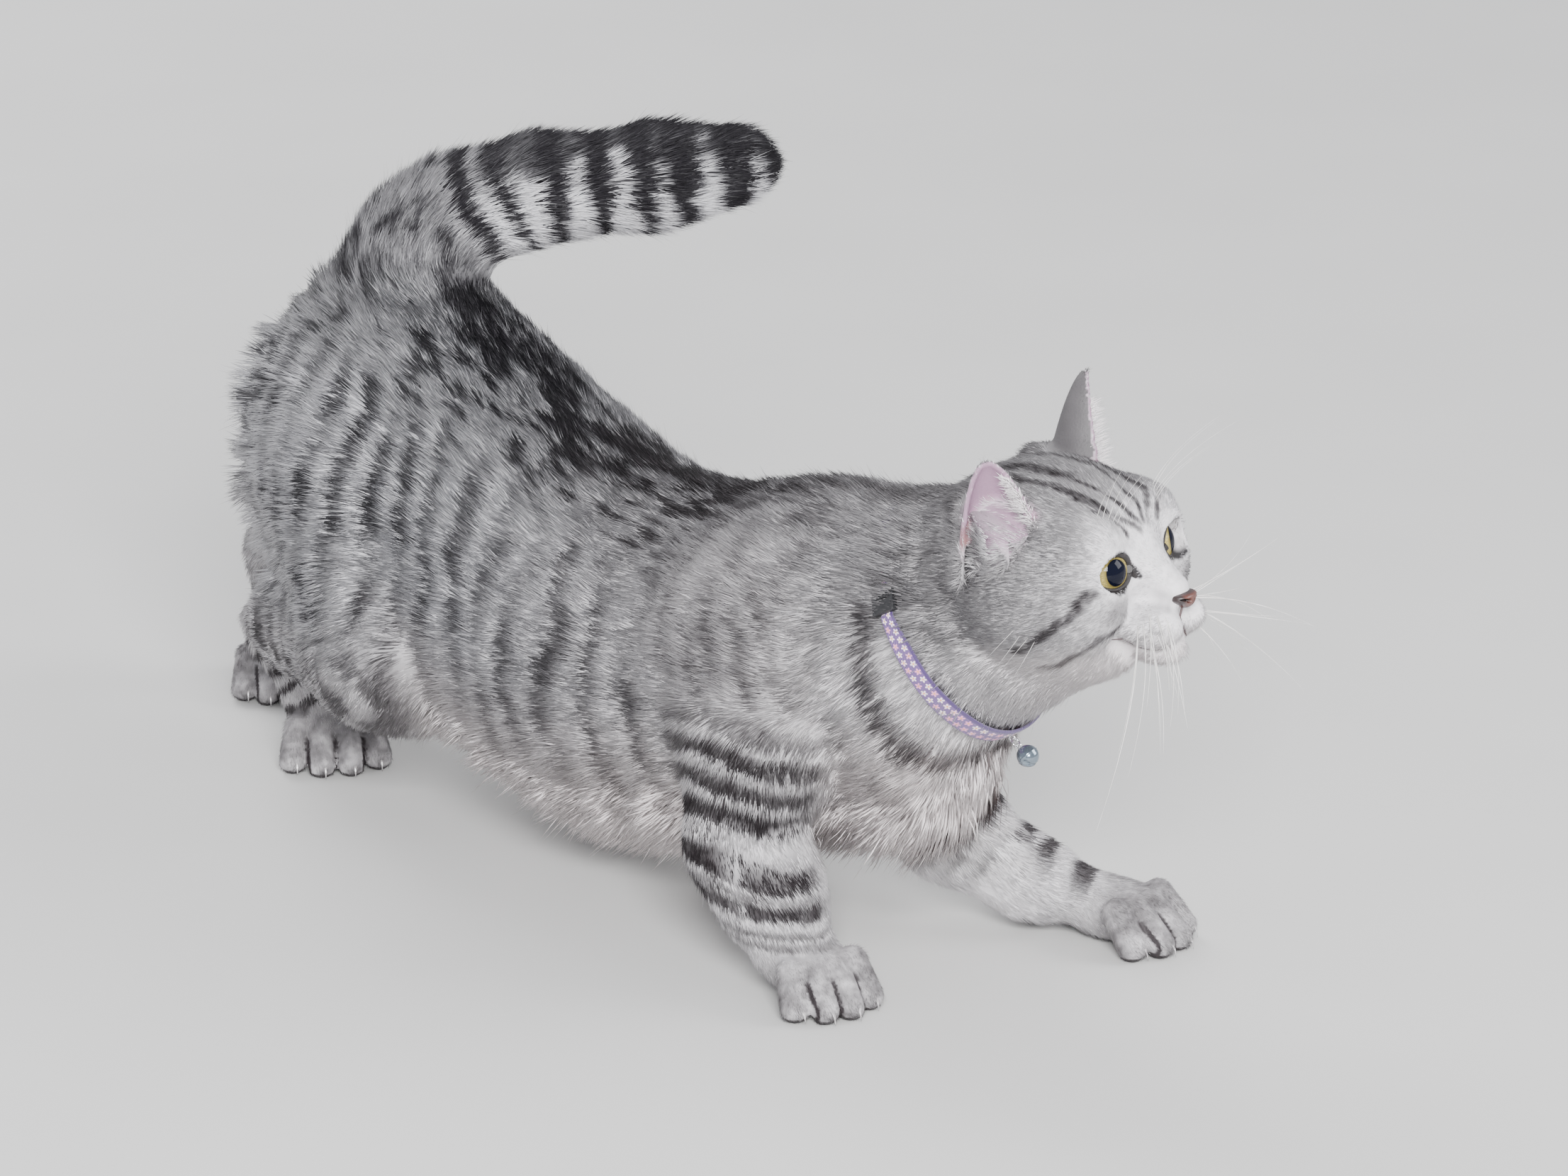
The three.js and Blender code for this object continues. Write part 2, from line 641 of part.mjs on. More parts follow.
// A claw on the front of every toe, pointing forward and down.
function clawsOf(paw) {
  return TOES.map(({ across, reach }) => {
    const geometry = new THREE.ConeGeometry(CLAW.radius, CLAW.length, 5).translate(0, CLAW.length / 2, 0);
    geometry.rotateX(radians(90 + CLAW.droop));
    geometry.translate(across * paw.splay, -reach - CLAW.start, CLAW.height);
    return toSolid(geometry.applyMatrix4(pawFrame(paw)));
  });
}

// ---------------------------------------------------------------- the whole cat
const ears = Object.fromEntries(Object.entries(EARS).map(([name, ear]) => [name, toSolid(earShell(ear))]));
const conches = Object.values(EARS).map((ear) => toSolid(conch(ear)));
const pieces = partBody(
  {
    head: Object.values(ears),
    ear_right: [ears.ear_right],
    ear_left: [ears.ear_left],
    front_paw_right: clawsOf(PAWS.front_right),
    front_paw_left: clawsOf(PAWS.front_left),
    hind_foot_right: clawsOf(PAWS.hind_right),
    hind_foot_left: clawsOf(PAWS.hind_left),
  },
  {
    head: [...conches, ...EYES.map((eye) => eyeSolid(eye, GAP)), ...EYES.map(lidOpening), noseSolid(GAP)],
    ear_right: conches,
    ear_left: conches,
    neck: [toSolid(band(COLLAR.sunk + GAP, -14, COLLAR.width + 2 * GAP)), toSolid(clip(GAP))],
  },
);
for (const eye of EYES) pieces[eye.name] = eyeSolid(eye, 0);
pieces.nose = noseSolid(0);
pieces.collar = toSolid(band(COLLAR.sunk, COLLAR.sunk - COLLAR.thick, COLLAR.width))
  .subtract(toSolid(clip(GAP)))
  .add(wireRing(collarEye, RING.eye, hangFront));
pieces.collar_clip = toSolid(clip());
pieces.bell = bellSolid();
pieces.bell_ring = wireRing(ringMiddle, RING.radius, hangSide);

// Colour, roughness and metalness by the start of a node's name.
const LOOKS = [
  ["eye", [0x9c8f3e, 0.08, 0]],
  ["nose", [0x85493c, 0.5, 0]],
  ["collar_clip", [0x151517, 0.45, 0]],
  ["collar", [0x8d7ba8, 0.8, 0]],
  ["bell_ring", [0xc9cbcd, 0.2, 1]],
  ["bell", [0x8b95a3, 0.28, 1]],
  ["ear", [0xb9a4a9, 0.9, 0]],
  ["tail", [0x8e8a87, 0.95, 0]],
  ["front_paw", [0xc2beb9, 0.95, 0]],
  ["hind_foot", [0xb9b5b0, 0.95, 0]],
  ["head", [0xb6b2ae, 0.95, 0]],
  ["", [0xaaa6a2, 0.95, 0]],
];

const cat = new THREE.Group();
for (const [name, solid] of Object.entries(pieces)) {
  const [color, roughness, metalness] = LOOKS.find(([start]) => name.startsWith(start))[1];
  const finish = new THREE.MeshStandardMaterial({ color, roughness, metalness });
  const mesh = new THREE.Mesh(toGeometry(solid), finish);
  mesh.name = name;
  cat.add(mesh);
}

// The origin is on the floor, under the middle of the cat's box.
const middle = new THREE.Box3().setFromObject(cat).getCenter(new THREE.Vector3());
cat.position.set(-middle.x, -middle.y, 0);
export default cat;
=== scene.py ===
# A stout silver tabby cat in a play bow, life size: one skin over the whole body, a coat of small tufts
# that lies along it, gold eyes, a flowered collar with its clip, and a bell.
import math

import bmesh
import bpy
import numpy as np
from mathutils import Matrix, Vector
from mathutils.bvhtree import BVHTree


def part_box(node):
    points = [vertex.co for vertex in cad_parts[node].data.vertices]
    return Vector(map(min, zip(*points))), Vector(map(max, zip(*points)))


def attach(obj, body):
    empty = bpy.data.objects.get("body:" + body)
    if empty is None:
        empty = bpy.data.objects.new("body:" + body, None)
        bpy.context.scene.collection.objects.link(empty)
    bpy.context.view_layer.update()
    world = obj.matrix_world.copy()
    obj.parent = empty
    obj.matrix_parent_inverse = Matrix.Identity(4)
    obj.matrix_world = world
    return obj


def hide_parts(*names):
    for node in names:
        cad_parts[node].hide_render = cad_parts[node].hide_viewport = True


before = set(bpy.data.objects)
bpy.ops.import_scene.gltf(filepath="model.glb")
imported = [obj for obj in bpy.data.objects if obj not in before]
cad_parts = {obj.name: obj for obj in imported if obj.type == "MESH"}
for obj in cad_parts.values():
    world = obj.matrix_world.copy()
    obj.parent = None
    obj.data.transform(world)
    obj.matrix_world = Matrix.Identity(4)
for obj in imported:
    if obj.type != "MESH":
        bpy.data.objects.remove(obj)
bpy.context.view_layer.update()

# ---------------------------------------------------------------- sizes
# Body coordinates are millimetres: +X the cat's left, -Y forwards, +Z up.
HEAD_AT = np.array([27.0, -254.0, 206.0])
HEAD_YAW = 16
HEAD_PITCH = 7
HEAD_ROLL = -2
EYE_RADIUS = 11.0
EYE_AT = (30.5, 23.0, 7.0)
EYE_TURNED_OUT = 24
EYE_TURNED_UP = 4
LID_AHEAD = 12.4
LID_HOLLOW = (13.6, 12.9, 8.6)
LID_SHELL = 12.2
NOSE_AT = (57.5, 0.0, -10.0)
NOSE_RADII = (6.0, 7.5, 5.0)
LID_BLEND = 3.0
LID_REACH = 11.5
LID_OPENING = (9.9, 7.9)
TEAR_DROPS = ((9.5, -1.0, 3.2), (11.5, -2.4, 2.6), (13.3, -4.0, 1.8), (14.8, -5.4, 1.1))
CONCH_AHEAD = 7.0
CONCH_RADII = (11.5, 13.5, 26.0)
EAR_RADIUS = 21.0
EAR_RIM = 2.0
EAR_INSET = 1.5
EAR_WRAP = 112
EAR_TAPER = 0.58
EARS = {
    "ear_right": {
        "base": (-12, -36, 18),
        "tip": (-8, -50, 62),
        "opening": (0.57, -0.79, -0.23),
        "depth": 0.75,
    },
    "ear_left": {
        "base": (-10, 36, 24),
        "tip": (-5, 47, 79),
        "opening": (0.82, 0.5, 0.1),
        "depth": 1.05,
    },
}
COLLAR_AT = np.array([10.5, -200.0, 173.3])
COLLAR_AXIS = (0.19, -0.85, 0.53)
COLLAR_WIDTH = 10.0
BELL_RADIUS = 5.3
BELL_HANGS = (0.14, -0.78, -0.61)
BELL_BELOW = 11.06
RIBBON_THICK = 1.5
FLOWERS_ROUND = 70.0
# The skin: how it is meshed, and how far it may move on its way to the coat's depth.
FLESH_SWOLLEN = 0.4
EAR_MOUND = 17
EAR_WALL = 2.2
ROUGH_VOXEL = 2.4
FINE_VOXEL = 1.4
SKIN_FACETS = 110000
SHARE_SOFTNESS = 6.0
SETTLING_PASSES = 2
SLOPE_REACH = 0.4
FURTHEST_SETTLED = 30.0
SOLE_HEIGHT = 0.4
# The coat: how deep its tufts are rooted, and how many triangles one piece of it may have.
ROOT_SUNK = 0.7
PIECE_TRIANGLES = 190000
FRINGE_HAIRS = 1100
PAST_ENDS = 40
MM = 0.001


def unit(v):
    v = np.asarray(v, float)
    return v / np.maximum(np.linalg.norm(v, axis=-1, keepdims=True), 1e-9)


def turn_about(axis, degrees):
    return np.array(Matrix.Rotation(math.radians(degrees), 3, axis))


# Head coordinates are forward, left and up from the middle of the skull.
HEAD_TURN = (
    turn_about("Z", HEAD_YAW) @ turn_about("X", -HEAD_PITCH) @ turn_about("Y", -HEAD_ROLL)
    @ np.array([[0, 1, 0], [-1, 0, 0], [0, 0, 1]])
)


def on_head(p):
    return np.asarray(p, float) @ HEAD_TURN.T + HEAD_AT


def from_head(p):
    return (p - HEAD_AT) @ HEAD_TURN


def head_way(v):
    return unit(np.asarray(v, float) @ HEAD_TURN.T)


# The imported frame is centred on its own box, so the eye's node says where body coordinates lie in it.
eye_low, eye_high = (np.array(corner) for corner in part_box("eye_right"))
ORIGIN = (eye_low + eye_high) / 2 / MM - on_head((EYE_AT[0], -EYE_AT[1], EYE_AT[2]))
ORIGIN[2] = 0.0


def to_frame(p):
    return (np.asarray(p) + ORIGIN) * MM


def to_body(p):
    return np.asarray(p) / MM - ORIGIN


# ---------------------------------------------------------------- form of the body
# Every volume is a distance function of an array of points.
def ellipsoid(center, radii, turn=np.eye(3)):
    center = np.asarray(center, float)
    radii = np.asarray(radii, float)

    def distance(p):
        q = ((p - center) @ turn) / radii
        k = np.linalg.norm(q, axis=1)
        slope = np.linalg.norm(q / radii, axis=1)
        return k * (k - 1) / np.maximum(slope, 1e-9)

    return distance


def taper(a, b, radius_a, radius_b):
    a = np.asarray(a, float)
    axis = np.asarray(b, float) - a

    def distance(p):
        t = np.clip((p - a) @ axis / (axis @ axis), 0, 1)
        return np.linalg.norm(p - a - t[:, None] * axis, axis=1) - (radius_a + (radius_b - radius_a) * t)

    return distance


# Trunk sections: y, then x and z of the middle, half width and half height.
TRUNK = np.array([
    (-176, 14, 118, 48, 66),
    (-140, 7, 128, 59, 86),
    (-98, 2, 121, 68, 94),
    (-57, 0, 112, 73, 96),
    (-26, -2, 109, 76, 98),
    (5, -3, 113, 77, 101),
    (47, -4, 126, 74, 107),
    (85, -4, 144, 70, 106),
    (120, -4, 170, 67, 92),
    (165, -4, 184, 65, 74),
], float)
TRUNK_ENDS = (46.0, 62.0)


def trunk_section(y):
    """The trunk's middle, half width and half height at each y, and how far y is past its ends."""
    rows = len(TRUNK)
    inside = np.clip(y, TRUNK[0, 0], TRUNK[-1, 0])
    n = np.clip(np.searchsorted(TRUNK[:, 0], inside) - 1, 0, rows - 2)
    before = TRUNK[np.maximum(n - 1, 0)]
    a = TRUNK[n]
    b = TRUNK[n + 1]
    after = TRUNK[np.minimum(n + 2, rows - 1)]
    slope_a = (b - before) / (b - before)[:, :1]
    slope_b = (after - a) / (after - a)[:, :1]
    span = (b - a)[:, :1]
    t = ((inside - a[:, 0]) / span[:, 0])[:, None]
    swing = t * (1 - t) ** 2 * slope_a - t * t * (1 - t) * slope_b
    values = a + (b - a) * t * t * (3 - 2 * t) + span * swing
    beyond = (y - inside) / np.where(y < inside, TRUNK_ENDS[0], TRUNK_ENDS[1])
    return values[:, 1:], beyond


def trunk_distance(p):
    section, beyond = trunk_section(p[:, 1])
    middle, height, wide, high = section.T
    k = np.sqrt(((p[:, 0] - middle) / wide) ** 2 + ((p[:, 2] - height) / high) ** 2 + beyond ** 2)
    return (k - 1) * np.minimum(np.minimum(wide, high), 60)


# Paws: the middle of the sole, the way it points, and how far its toes are spread.
PAWS = {
    "front_right": {"at": (-58, -183, 0), "heading": -22, "splay": 1},
    "front_left": {"at": (93, -236, 0), "heading": 3, "splay": 1},
    "hind_right": {"at": (-20, 189, 0), "heading": -38, "splay": 1.15},
    "hind_left": {"at": (23, 279, 0), "heading": -40, "splay": 0.95},
}
# Toes: how far each stands to the side, and how far it reaches.
TOES = ((-18, 17), (-6.3, 24), (6.3, 24), (18, 17))
# Legs and tail: the places of their joints, and their radii there.
LEGS = {
    "front_right": (
        ((-46, -134, 112), (-54, -132, 63), (-56, -150, 44), (-59, -166, 26)),
        (38, 27, 25, 21),
    ),
    "front_left": (
        ((46, -134, 104), (55, -158, 44), (70, -190, 25), (86, -218, 16)),
        (36, 25, 20, 16),
    ),
    "hind_right": (
        ((-36, 146, 170), (-46, 114, 88), (-36, 186, 78), (-22, 226, 62), (-20, 200, 24)),
        (50, 43, 28, 17, 17),
    ),
    "hind_left": (
        ((34, 160, 170), (40, 160, 104), (34, 232, 90), (26, 281, 74), (24, 281, 24)),
        (50, 42, 28, 15, 14),
    ),
}
TAIL = (
    ((2, 156, 234), (5, 150, 262), (15, 135, 284), (40, 106, 297), (82, 72, 302), (116, 48, 305)),
    (40, 33, 28, 27, 26, 24),
)


def paw_turn(name):
    return turn_about("Z", PAWS[name]["heading"])


def in_paw(name, p):
    """A point in the paw's own frame: across, backwards and up from the middle of its sole."""
    return np.asarray(p, float) @ paw_turn(name).T + np.array(PAWS[name]["at"], float)


def from_paw(name, p):
    return (p - np.array(PAWS[name]["at"], float)) @ paw_turn(name)


def head_volumes():
    volumes = []

    def blob(p, radii, blend, both=False):
        for side in (1, -1) if both else (1,):
            center = on_head((p[0], p[1] * side, p[2]))
            volumes.append(("head", ellipsoid(center, radii, HEAD_TURN), blend))

    blob((-8, 0, 8), (50, 51, 43), 16)
    blob((4, 30, -5), (36, 29, 31), 14, True)
    blob((0, 0, -32), (38, 30, 23), 16)
    blob((-22, 34, 36), (15, 12, 13), 12, True)
    blob((24, 26, 20), (19, 18, 15), 12, True)
    blob((26, 32, -2), (19, 15, 24), 10, True)
    volumes.append(("head", taper(on_head((24, 0, 14)), on_head((52, 0, -7)), 17, 9.5), 12))
    blob((46, 11, -22), (17, 13.5, 12), 7, True)
    blob((44.5, 0, -34.5), (14, 14, 9.5), 7)
    return volumes


def paw_volumes(name):
    splay = PAWS[name]["splay"]
    volumes = [("paw_" + name, ellipsoid(in_paw(name, (0, 4, 13)), (19, 21, 15), paw_turn(name)), 9)]
    for across, reach in TOES:
        knuckle = in_paw(name, (across * 0.82 * splay, -reach * 0.3, 19))
        tip = in_paw(name, (across * splay, -reach, 6.2))
        volumes.append(("paw_" + name, taper(knuckle, tip, 8.0, 7.4), 3))
    return volumes


def chain_volumes(part, joints, radii, blend):
    spans = zip(joints, joints[1:], radii, radii[1:])
    return [(part, taper(a, b, radius_a, radius_b), blend) for a, b, radius_a, radius_b in spans]


VOLUMES = [
    ("trunk", trunk_distance, 1),
    ("shoulder", ellipsoid((-38, -124, 142), (36, 50, 60)), 24),
    ("shoulder", ellipsoid((46, -124, 138), (36, 50, 60)), 24),
    ("thigh", ellipsoid((-34, 160, 150), (36, 58, 72)), 24),
    ("thigh", ellipsoid((30, 168, 150), (36, 58, 72)), 24),
    ("neck", taper((6, -146, 162), (20, -214, 187), 58, 50), 26),
    ("neck", taper((12, -170, 140), (23, -226, 173), 48, 43), 20),
    *head_volumes(),
    *chain_volumes("tail", *TAIL, 18),
]
for leg_name, (leg_joints, leg_radii) in LEGS.items():
    VOLUMES += chain_volumes("leg_" + leg_name, leg_joints, leg_radii, 16)
    VOLUMES += paw_volumes(leg_name)
PARTS = list(dict.fromkeys(part for part, _, _ in VOLUMES))


def soft_join(d, other, blend):
    """Two volumes that run softly into each other."""
    h = np.maximum(blend - np.abs(d - other), 0) / blend
    return np.minimum(d, other) - h * h * blend / 4


def body(p):
    """Signed distance to the tips of the coat: every volume runs softly into the ones before it."""
    d = np.full(len(p), 1e9)
    for _, distance, blend in VOLUMES:
        d = soft_join(d, distance(p), blend)
    return d


def shares(p):
    """How much each part of the body has of each point. The shares of a point add up to 1."""
    nearest = {part: np.full(len(p), 1e9) for part in PARTS}
    for part, distance, _ in VOLUMES:
        nearest[part] = np.minimum(nearest[part], distance(p))
    lowest = np.min(list(nearest.values()), axis=0)
    weights = {part: np.exp(-(d - lowest) / SHARE_SOFTNESS) for part, d in nearest.items()}
    total = sum(weights.values())
    weights = {part: w / total for part, w in weights.items()}
    # High up, a limb belongs to the shoulder or to the thigh.
    for part in weights:
        if part.startswith("leg_"):
            front = part.startswith("leg_front")
            given = weights[part] * (step(122, 142, p[:, 2]) if front else step(84, 106, p[:, 2]))
            weights[part] = weights[part] - given
            weights["shoulder" if front else "thigh"] += given
    return weights


def step(low, high, x):
    t = np.clip((x - low) / (high - low), 0, 1)
    return t * t * (3 - 2 * t)


def bump(x, middle, width):
    return np.exp(-(((x - middle) / width) ** 2))


def group(share, prefix):
    return sum(w for part, w in share.items() if part.startswith(prefix))


def around_trunk(p):
    """Angle round the trunk in degrees: 0 along the spine, 90 on the left flank, 180 under the belly."""
    middle, height, wide, high = trunk_section(p[:, 1])[0].T
    return np.degrees(np.arctan2((p[:, 0] - middle) / wide, (p[:, 2] - height) / high))


def toe_clefts(name, p):
    """How much each point lies in the clefts between a paw's toes."""
    q = from_paw(name, p)
    splay = PAWS[name]["splay"]
    clefts = np.zeros(len(p))
    for (left, _), (right, _) in zip(TOES, TOES[1:]):
        cleft = (left + right) / 2 * splay * (0.84 + 0.16 * step(0, 20, -q[:, 1]))
        clefts = np.maximum(clefts, bump(q[:, 0], cleft, 1.25))
    return clefts * step(-7, -17, q[:, 1]) * step(25, 17, q[:, 2])


def coat_depth(p, share):
    """How far the skin lies below the tips of the coat."""
    under = step(105, 150, np.abs(around_trunk(p)))
    trunk = 5.0 + 4.0 * under
    jaw = step(-12, -34, from_head(p)[:, 2])
    return (
        share["trunk"] * trunk
        + (share["shoulder"] + share["thigh"]) * 5.0
        + share["neck"] * 5.0
        + share["head"] * (1.7 + 1.6 * jaw)
        + share["tail"] * 5.5
        + group(share, "leg_") * 3.0
        + sum(share["paw_" + name] * (0.5 + 0.6 * toe_clefts(name, p)) for name in PAWS)
    )


def settle(field, p):
    """Moves points along the slope of a field towards the places where it is 0."""
    start = p.copy()
    p = p.copy()
    for _ in range(SETTLING_PASSES):
        value = field(p)
        slope = np.stack([field(p + axis) - value for axis in np.eye(3) * SLOPE_REACH], axis=1)
        slope /= SLOPE_REACH
        steep = np.maximum(0.3, np.linalg.norm(slope, axis=1))
        p -= slope * (value / steep ** 2)[:, None]
    too_far = np.linalg.norm(p - start, axis=1) > FURTHEST_SETTLED
    p[too_far] = start[too_far]
    return p


# ---------------------------------------------------------------- ears, eyes and hollows of the head
def ear_axes(ear):
    start = on_head(ear["base"])
    rise = on_head(ear["tip"]) - start
    up = unit(rise)
    front = head_way(ear["opening"])
    front = unit(front - (front @ up) * up)
    return start, rise, up, front, np.cross(up, front)


def ear_point(ear, t, around):
    """A point of the ear's shell: t from root to tip, around from -1 at one edge to 1 at the other."""
    start, rise, _, front, side = ear_axes(ear)
    angle = np.radians(EAR_WRAP * (1 - 0.25 * t)) * around
    radius = np.maximum(0.4, EAR_RADIUS * (1 - t) ** EAR_TAPER + EAR_RIM - EAR_INSET)
    along = t * 0.985 - 0.16 * (1 - t)
    forwards = EAR_RADIUS * 0.3 * (1 - t) - ear["depth"] * radius * np.cos(angle)
    sideways = radius * np.sin(angle)
    return start + np.outer(along, rise) + np.outer(forwards, front) + np.outer(sideways, side)


def conch(ear):
    """The hollow of an ear."""
    start, rise, up, front, side = ear_axes(ear)
    turn = np.stack([front, side, up], axis=1)
    return ellipsoid(start + 0.25 * rise + CONCH_AHEAD * front, CONCH_RADII, turn)


def eye_frame(side):
    """The eye's middle, and its own axes: the way it looks, towards the nose, and up."""
    out = math.radians(EYE_TURNED_OUT)
    look = head_way((math.cos(out), side * math.sin(out), math.sin(math.radians(EYE_TURNED_UP))))
    center = on_head((EYE_AT[0], EYE_AT[1] * side, EYE_AT[2]))
    up = head_way((0, 0, 1))
    up = unit(up - (up @ look) * look)
    inner = np.cross(up, look) * (1 if side < 0 else -1)
    return center, look, inner, up


def smooth_cut(d, other, blend):
    """What is left of a solid when another one is cut out of it, with a soft edge."""
    return -soft_join(-d, other, blend)


# The lids are a thin round of skin over each eyeball, cut open in an almond shape.
HOLLOWS = [(conch(ear), 3.0) for ear in EARS.values()]
LIDS = []
for eye_side in (1, -1):
    eye_center, eye_look, eye_inner, eye_up = eye_frame(eye_side)
    LIDS.append(ellipsoid(eye_center, (LID_SHELL,) * 3))
    opening = np.stack([eye_look, eye_inner, eye_up], axis=1)
    HOLLOWS.append((ellipsoid(eye_center + eye_look * LID_AHEAD, LID_HOLLOW, opening), 0.8))


def skin_field(p, depth):
    d = body(p) + depth
    near = np.linalg.norm(p - HEAD_AT, axis=1) < 110
    if near.any():
        part = d[near]
        for lid in LIDS:
            part = soft_join(part, lid(p[near]), LID_BLEND)
        for hollow, blend in HOLLOWS:
            part = smooth_cut(part, hollow(p[near]), blend)
        d[near] = part
    return d


# ---------------------------------------------------------------- meshes
scene = bpy.context.scene


def points_of(mesh):
    found = np.empty(len(mesh.vertices) * 3, np.float32)
    mesh.vertices.foreach_get("co", found)
    return found.reshape(-1, 3).astype(float)


def set_points(mesh, points):
    mesh.vertices.foreach_set("co", np.asarray(points, np.float32).ravel())
    mesh.update()


def normals_of(mesh):
    found = np.empty(len(mesh.vertices) * 3, np.float32)
    mesh.vertex_normals.foreach_get("vector", found)
    return found.reshape(-1, 3).astype(float)


def new_piece(name, mesh):
    piece = bpy.data.objects.new(name, mesh)
    scene.collection.objects.link(piece)
    return piece


def from_bmesh(name, bm, smooth=True):
    mesh = bpy.data.meshes.new(name)
    bm.to_mesh(mesh)
    bm.free()
    for polygon in mesh.polygons:
        polygon.use_smooth = smooth
    return new_piece(name, mesh)


def baked(piece):
    """The piece with its modifiers applied."""
    graph = bpy.context.evaluated_depsgraph_get()
    mesh = bpy.data.meshes.new_from_object(piece.evaluated_get(graph))
    name = piece.name
    old = piece.data
    bpy.data.objects.remove(piece)
    bpy.data.meshes.remove(old)
    mesh.name = name
    return new_piece(name, mesh)


def remeshed(piece, voxel):
    modifier = piece.modifiers.new("Whole", "REMESH")
    modifier.mode = "VOXEL"
    modifier.voxel_size = voxel * MM
    return baked(piece)


def tree_of(mesh):
    """The faces of a mesh, sorted for finding the nearest one."""
    corners = [v.co.copy() for v in mesh.vertices]
    return BVHTree.FromPolygons(corners, [tuple(f.vertices) for f in mesh.polygons])


def settle_skin(piece, held=None):
    """Puts the skin's vertices at the coat's depth below its tips, less those that are held."""
    p = to_body(points_of(piece.data))
    depth = coat_depth(p, shares(p))
    settled = settle(lambda q: skin_field(q, depth), p)
    settled[:, 2] = np.maximum(settled[:, 2], SOLE_HEIGHT)
    if held is not None:
        settled = settled + (p - settled) * held[:, None]
    set_points(piece.data, to_frame(settled))


def ear_shells():
    """Both ears as one open shell each, with a wall."""
    bm = bmesh.new()
    for ear in EARS.values():
        made = bmesh.ops.create_grid(bm, x_segments=40, y_segments=40, size=1)
        grid = np.array([v.co for v in made["verts"]])
        places = to_frame(ear_point(ear, (grid[:, 1] + 1) / 2 * 0.99, grid[:, 0]))
        for vertex, place in zip(made["verts"], places):
            vertex.co = place
    piece = from_bmesh("ears", bm)
    wall = piece.modifiers.new("Wall", "SOLIDIFY")
    wall.thickness = EAR_WALL * MM
    wall.offset = 0
    return baked(piece)


NOT_FLESH = ("eye_left", "eye_right", "nose", "collar", "collar_clip", "bell", "bell_ring")
FLESH = [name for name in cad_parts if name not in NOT_FLESH]


def flesh_and_mounds():
    """The flesh nodes in one mesh, a little swollen so that they meet, with a mound under each ear."""
    bm = bmesh.new()
    for name in FLESH:
        if name not in EARS:
            bm.from_mesh(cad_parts[name].data)
    bmesh.ops.remove_doubles(bm, verts=bm.verts, dist=2e-6)
    bmesh.ops.recalc_face_normals(bm, faces=bm.faces)
    for vertex in bm.verts:
        vertex.co += vertex.normal * FLESH_SWOLLEN * MM
    for side in (-1, 1):
        mound = bmesh.ops.create_icosphere(bm, subdivisions=3, radius=EAR_MOUND * MM)
        bmesh.ops.translate(bm, verts=mound["verts"], vec=to_frame(on_head((-10, 33 * side, 26))))
    return bm


def with_fewer_facets(skin):
    """The trunk and limbs need fewer facets than the head and paws do."""
    p = to_body(points_of(skin.data))
    share = shares(p)
    fine = share["head"] + group(share, "paw_") + bump(from_head(p)[:, 2], 60, 25) * (p[:, 1] < -180)
    coarse = skin.vertex_groups.new(name="coarse")
    weights = np.round(1 - np.clip(fine * 2, 0, 1), 1)
    for level in np.unique(weights):
        if level > 0:
            coarse.add(np.flatnonzero(weights == level).tolist(), float(level), "REPLACE")
    fewer = skin.modifiers.new("Fewer", "DECIMATE")
    fewer.ratio = SKIN_FACETS / (2 * len(skin.data.polygons))
    fewer.vertex_group = "coarse"
    skin = baked(skin)
    skin.vertex_groups.clear()
    return skin


def with_finer_face(skin):
    """The skin with every edge of the face cut in two."""
    bm = bmesh.new()
    bm.from_mesh(skin.data)
    bm.verts.ensure_lookup_table()
    ahead, left, up = from_head(to_body(np.array([v.co for v in bm.verts]))).T
    face = (ahead > 16) & (np.abs(left) < 48) & (up < 40) & (up > -50)
    edges = [e for e in bm.edges if face[e.verts[0].index] and face[e.verts[1].index]]
    bmesh.ops.subdivide_edges(bm, edges=edges, cuts=1, use_grid_fill=True)
    bmesh.ops.triangulate(bm, faces=[f for f in bm.faces if len(f.verts) > 4])
    bpy.data.objects.remove(skin)
    return from_bmesh("skin", bm)


def make_skin():
    """The skin, and how much each of its vertices belongs to the ears' shells."""
    skin = remeshed(from_bmesh("skin", flesh_and_mounds()), ROUGH_VOXEL)
    settle_skin(skin)
    shells = ear_shells()
    ear_tree = tree_of(shells.data)
    bm = bmesh.new()
    for piece in (skin, shells):
        bm.from_mesh(piece.data)
        bpy.data.objects.remove(piece)
    skin = with_finer_face(with_fewer_facets(remeshed(from_bmesh("skin", bm), FINE_VOXEL)))

    p = to_body(points_of(skin.data))
    held = np.zeros(len(p))
    for n in np.flatnonzero(np.linalg.norm(p - HEAD_AT, axis=1) < 120):
        distance = ear_tree.find_nearest(Vector(to_frame(p[n])), 0.006)[3]
        held[n] = 0 if distance is None else 1 - step(0.6, 4.5, distance / MM)
    settle_skin(skin, held)
    return skin, held


skin, ear_share = make_skin()


# ---------------------------------------------------------------- markings
def noise(p, size, seed=0):
    """Smooth noise from -1 to 1, with lumps of about the given size in millimetres."""
    q = p / np.asarray(size, float) + 37.1 * (seed + 1)
    low = np.floor(q).astype(np.int64)
    t = q - low
    t = t * t * (3 - 2 * t)
    total = np.zeros(len(p))
    for corner in range(8):
        bits = np.array([corner & 1, corner >> 1 & 1, corner >> 2 & 1])
        at = low + bits
        key = (at[:, 0] * 73856093) ^ (at[:, 1] * 19349663) ^ (at[:, 2] * 83492791) ^ (seed * 40503 + 977)
        key = ((key ^ (key >> 13)) * 1274126177) & 0xFFFFFFFF
        value = ((key ^ (key >> 16)) & 0xFFFF) / 32767.5 - 1
        total += value * np.prod(np.where(bits, t, 1 - t), axis=1)
    return np.clip(total * 1.5, -1, 1)


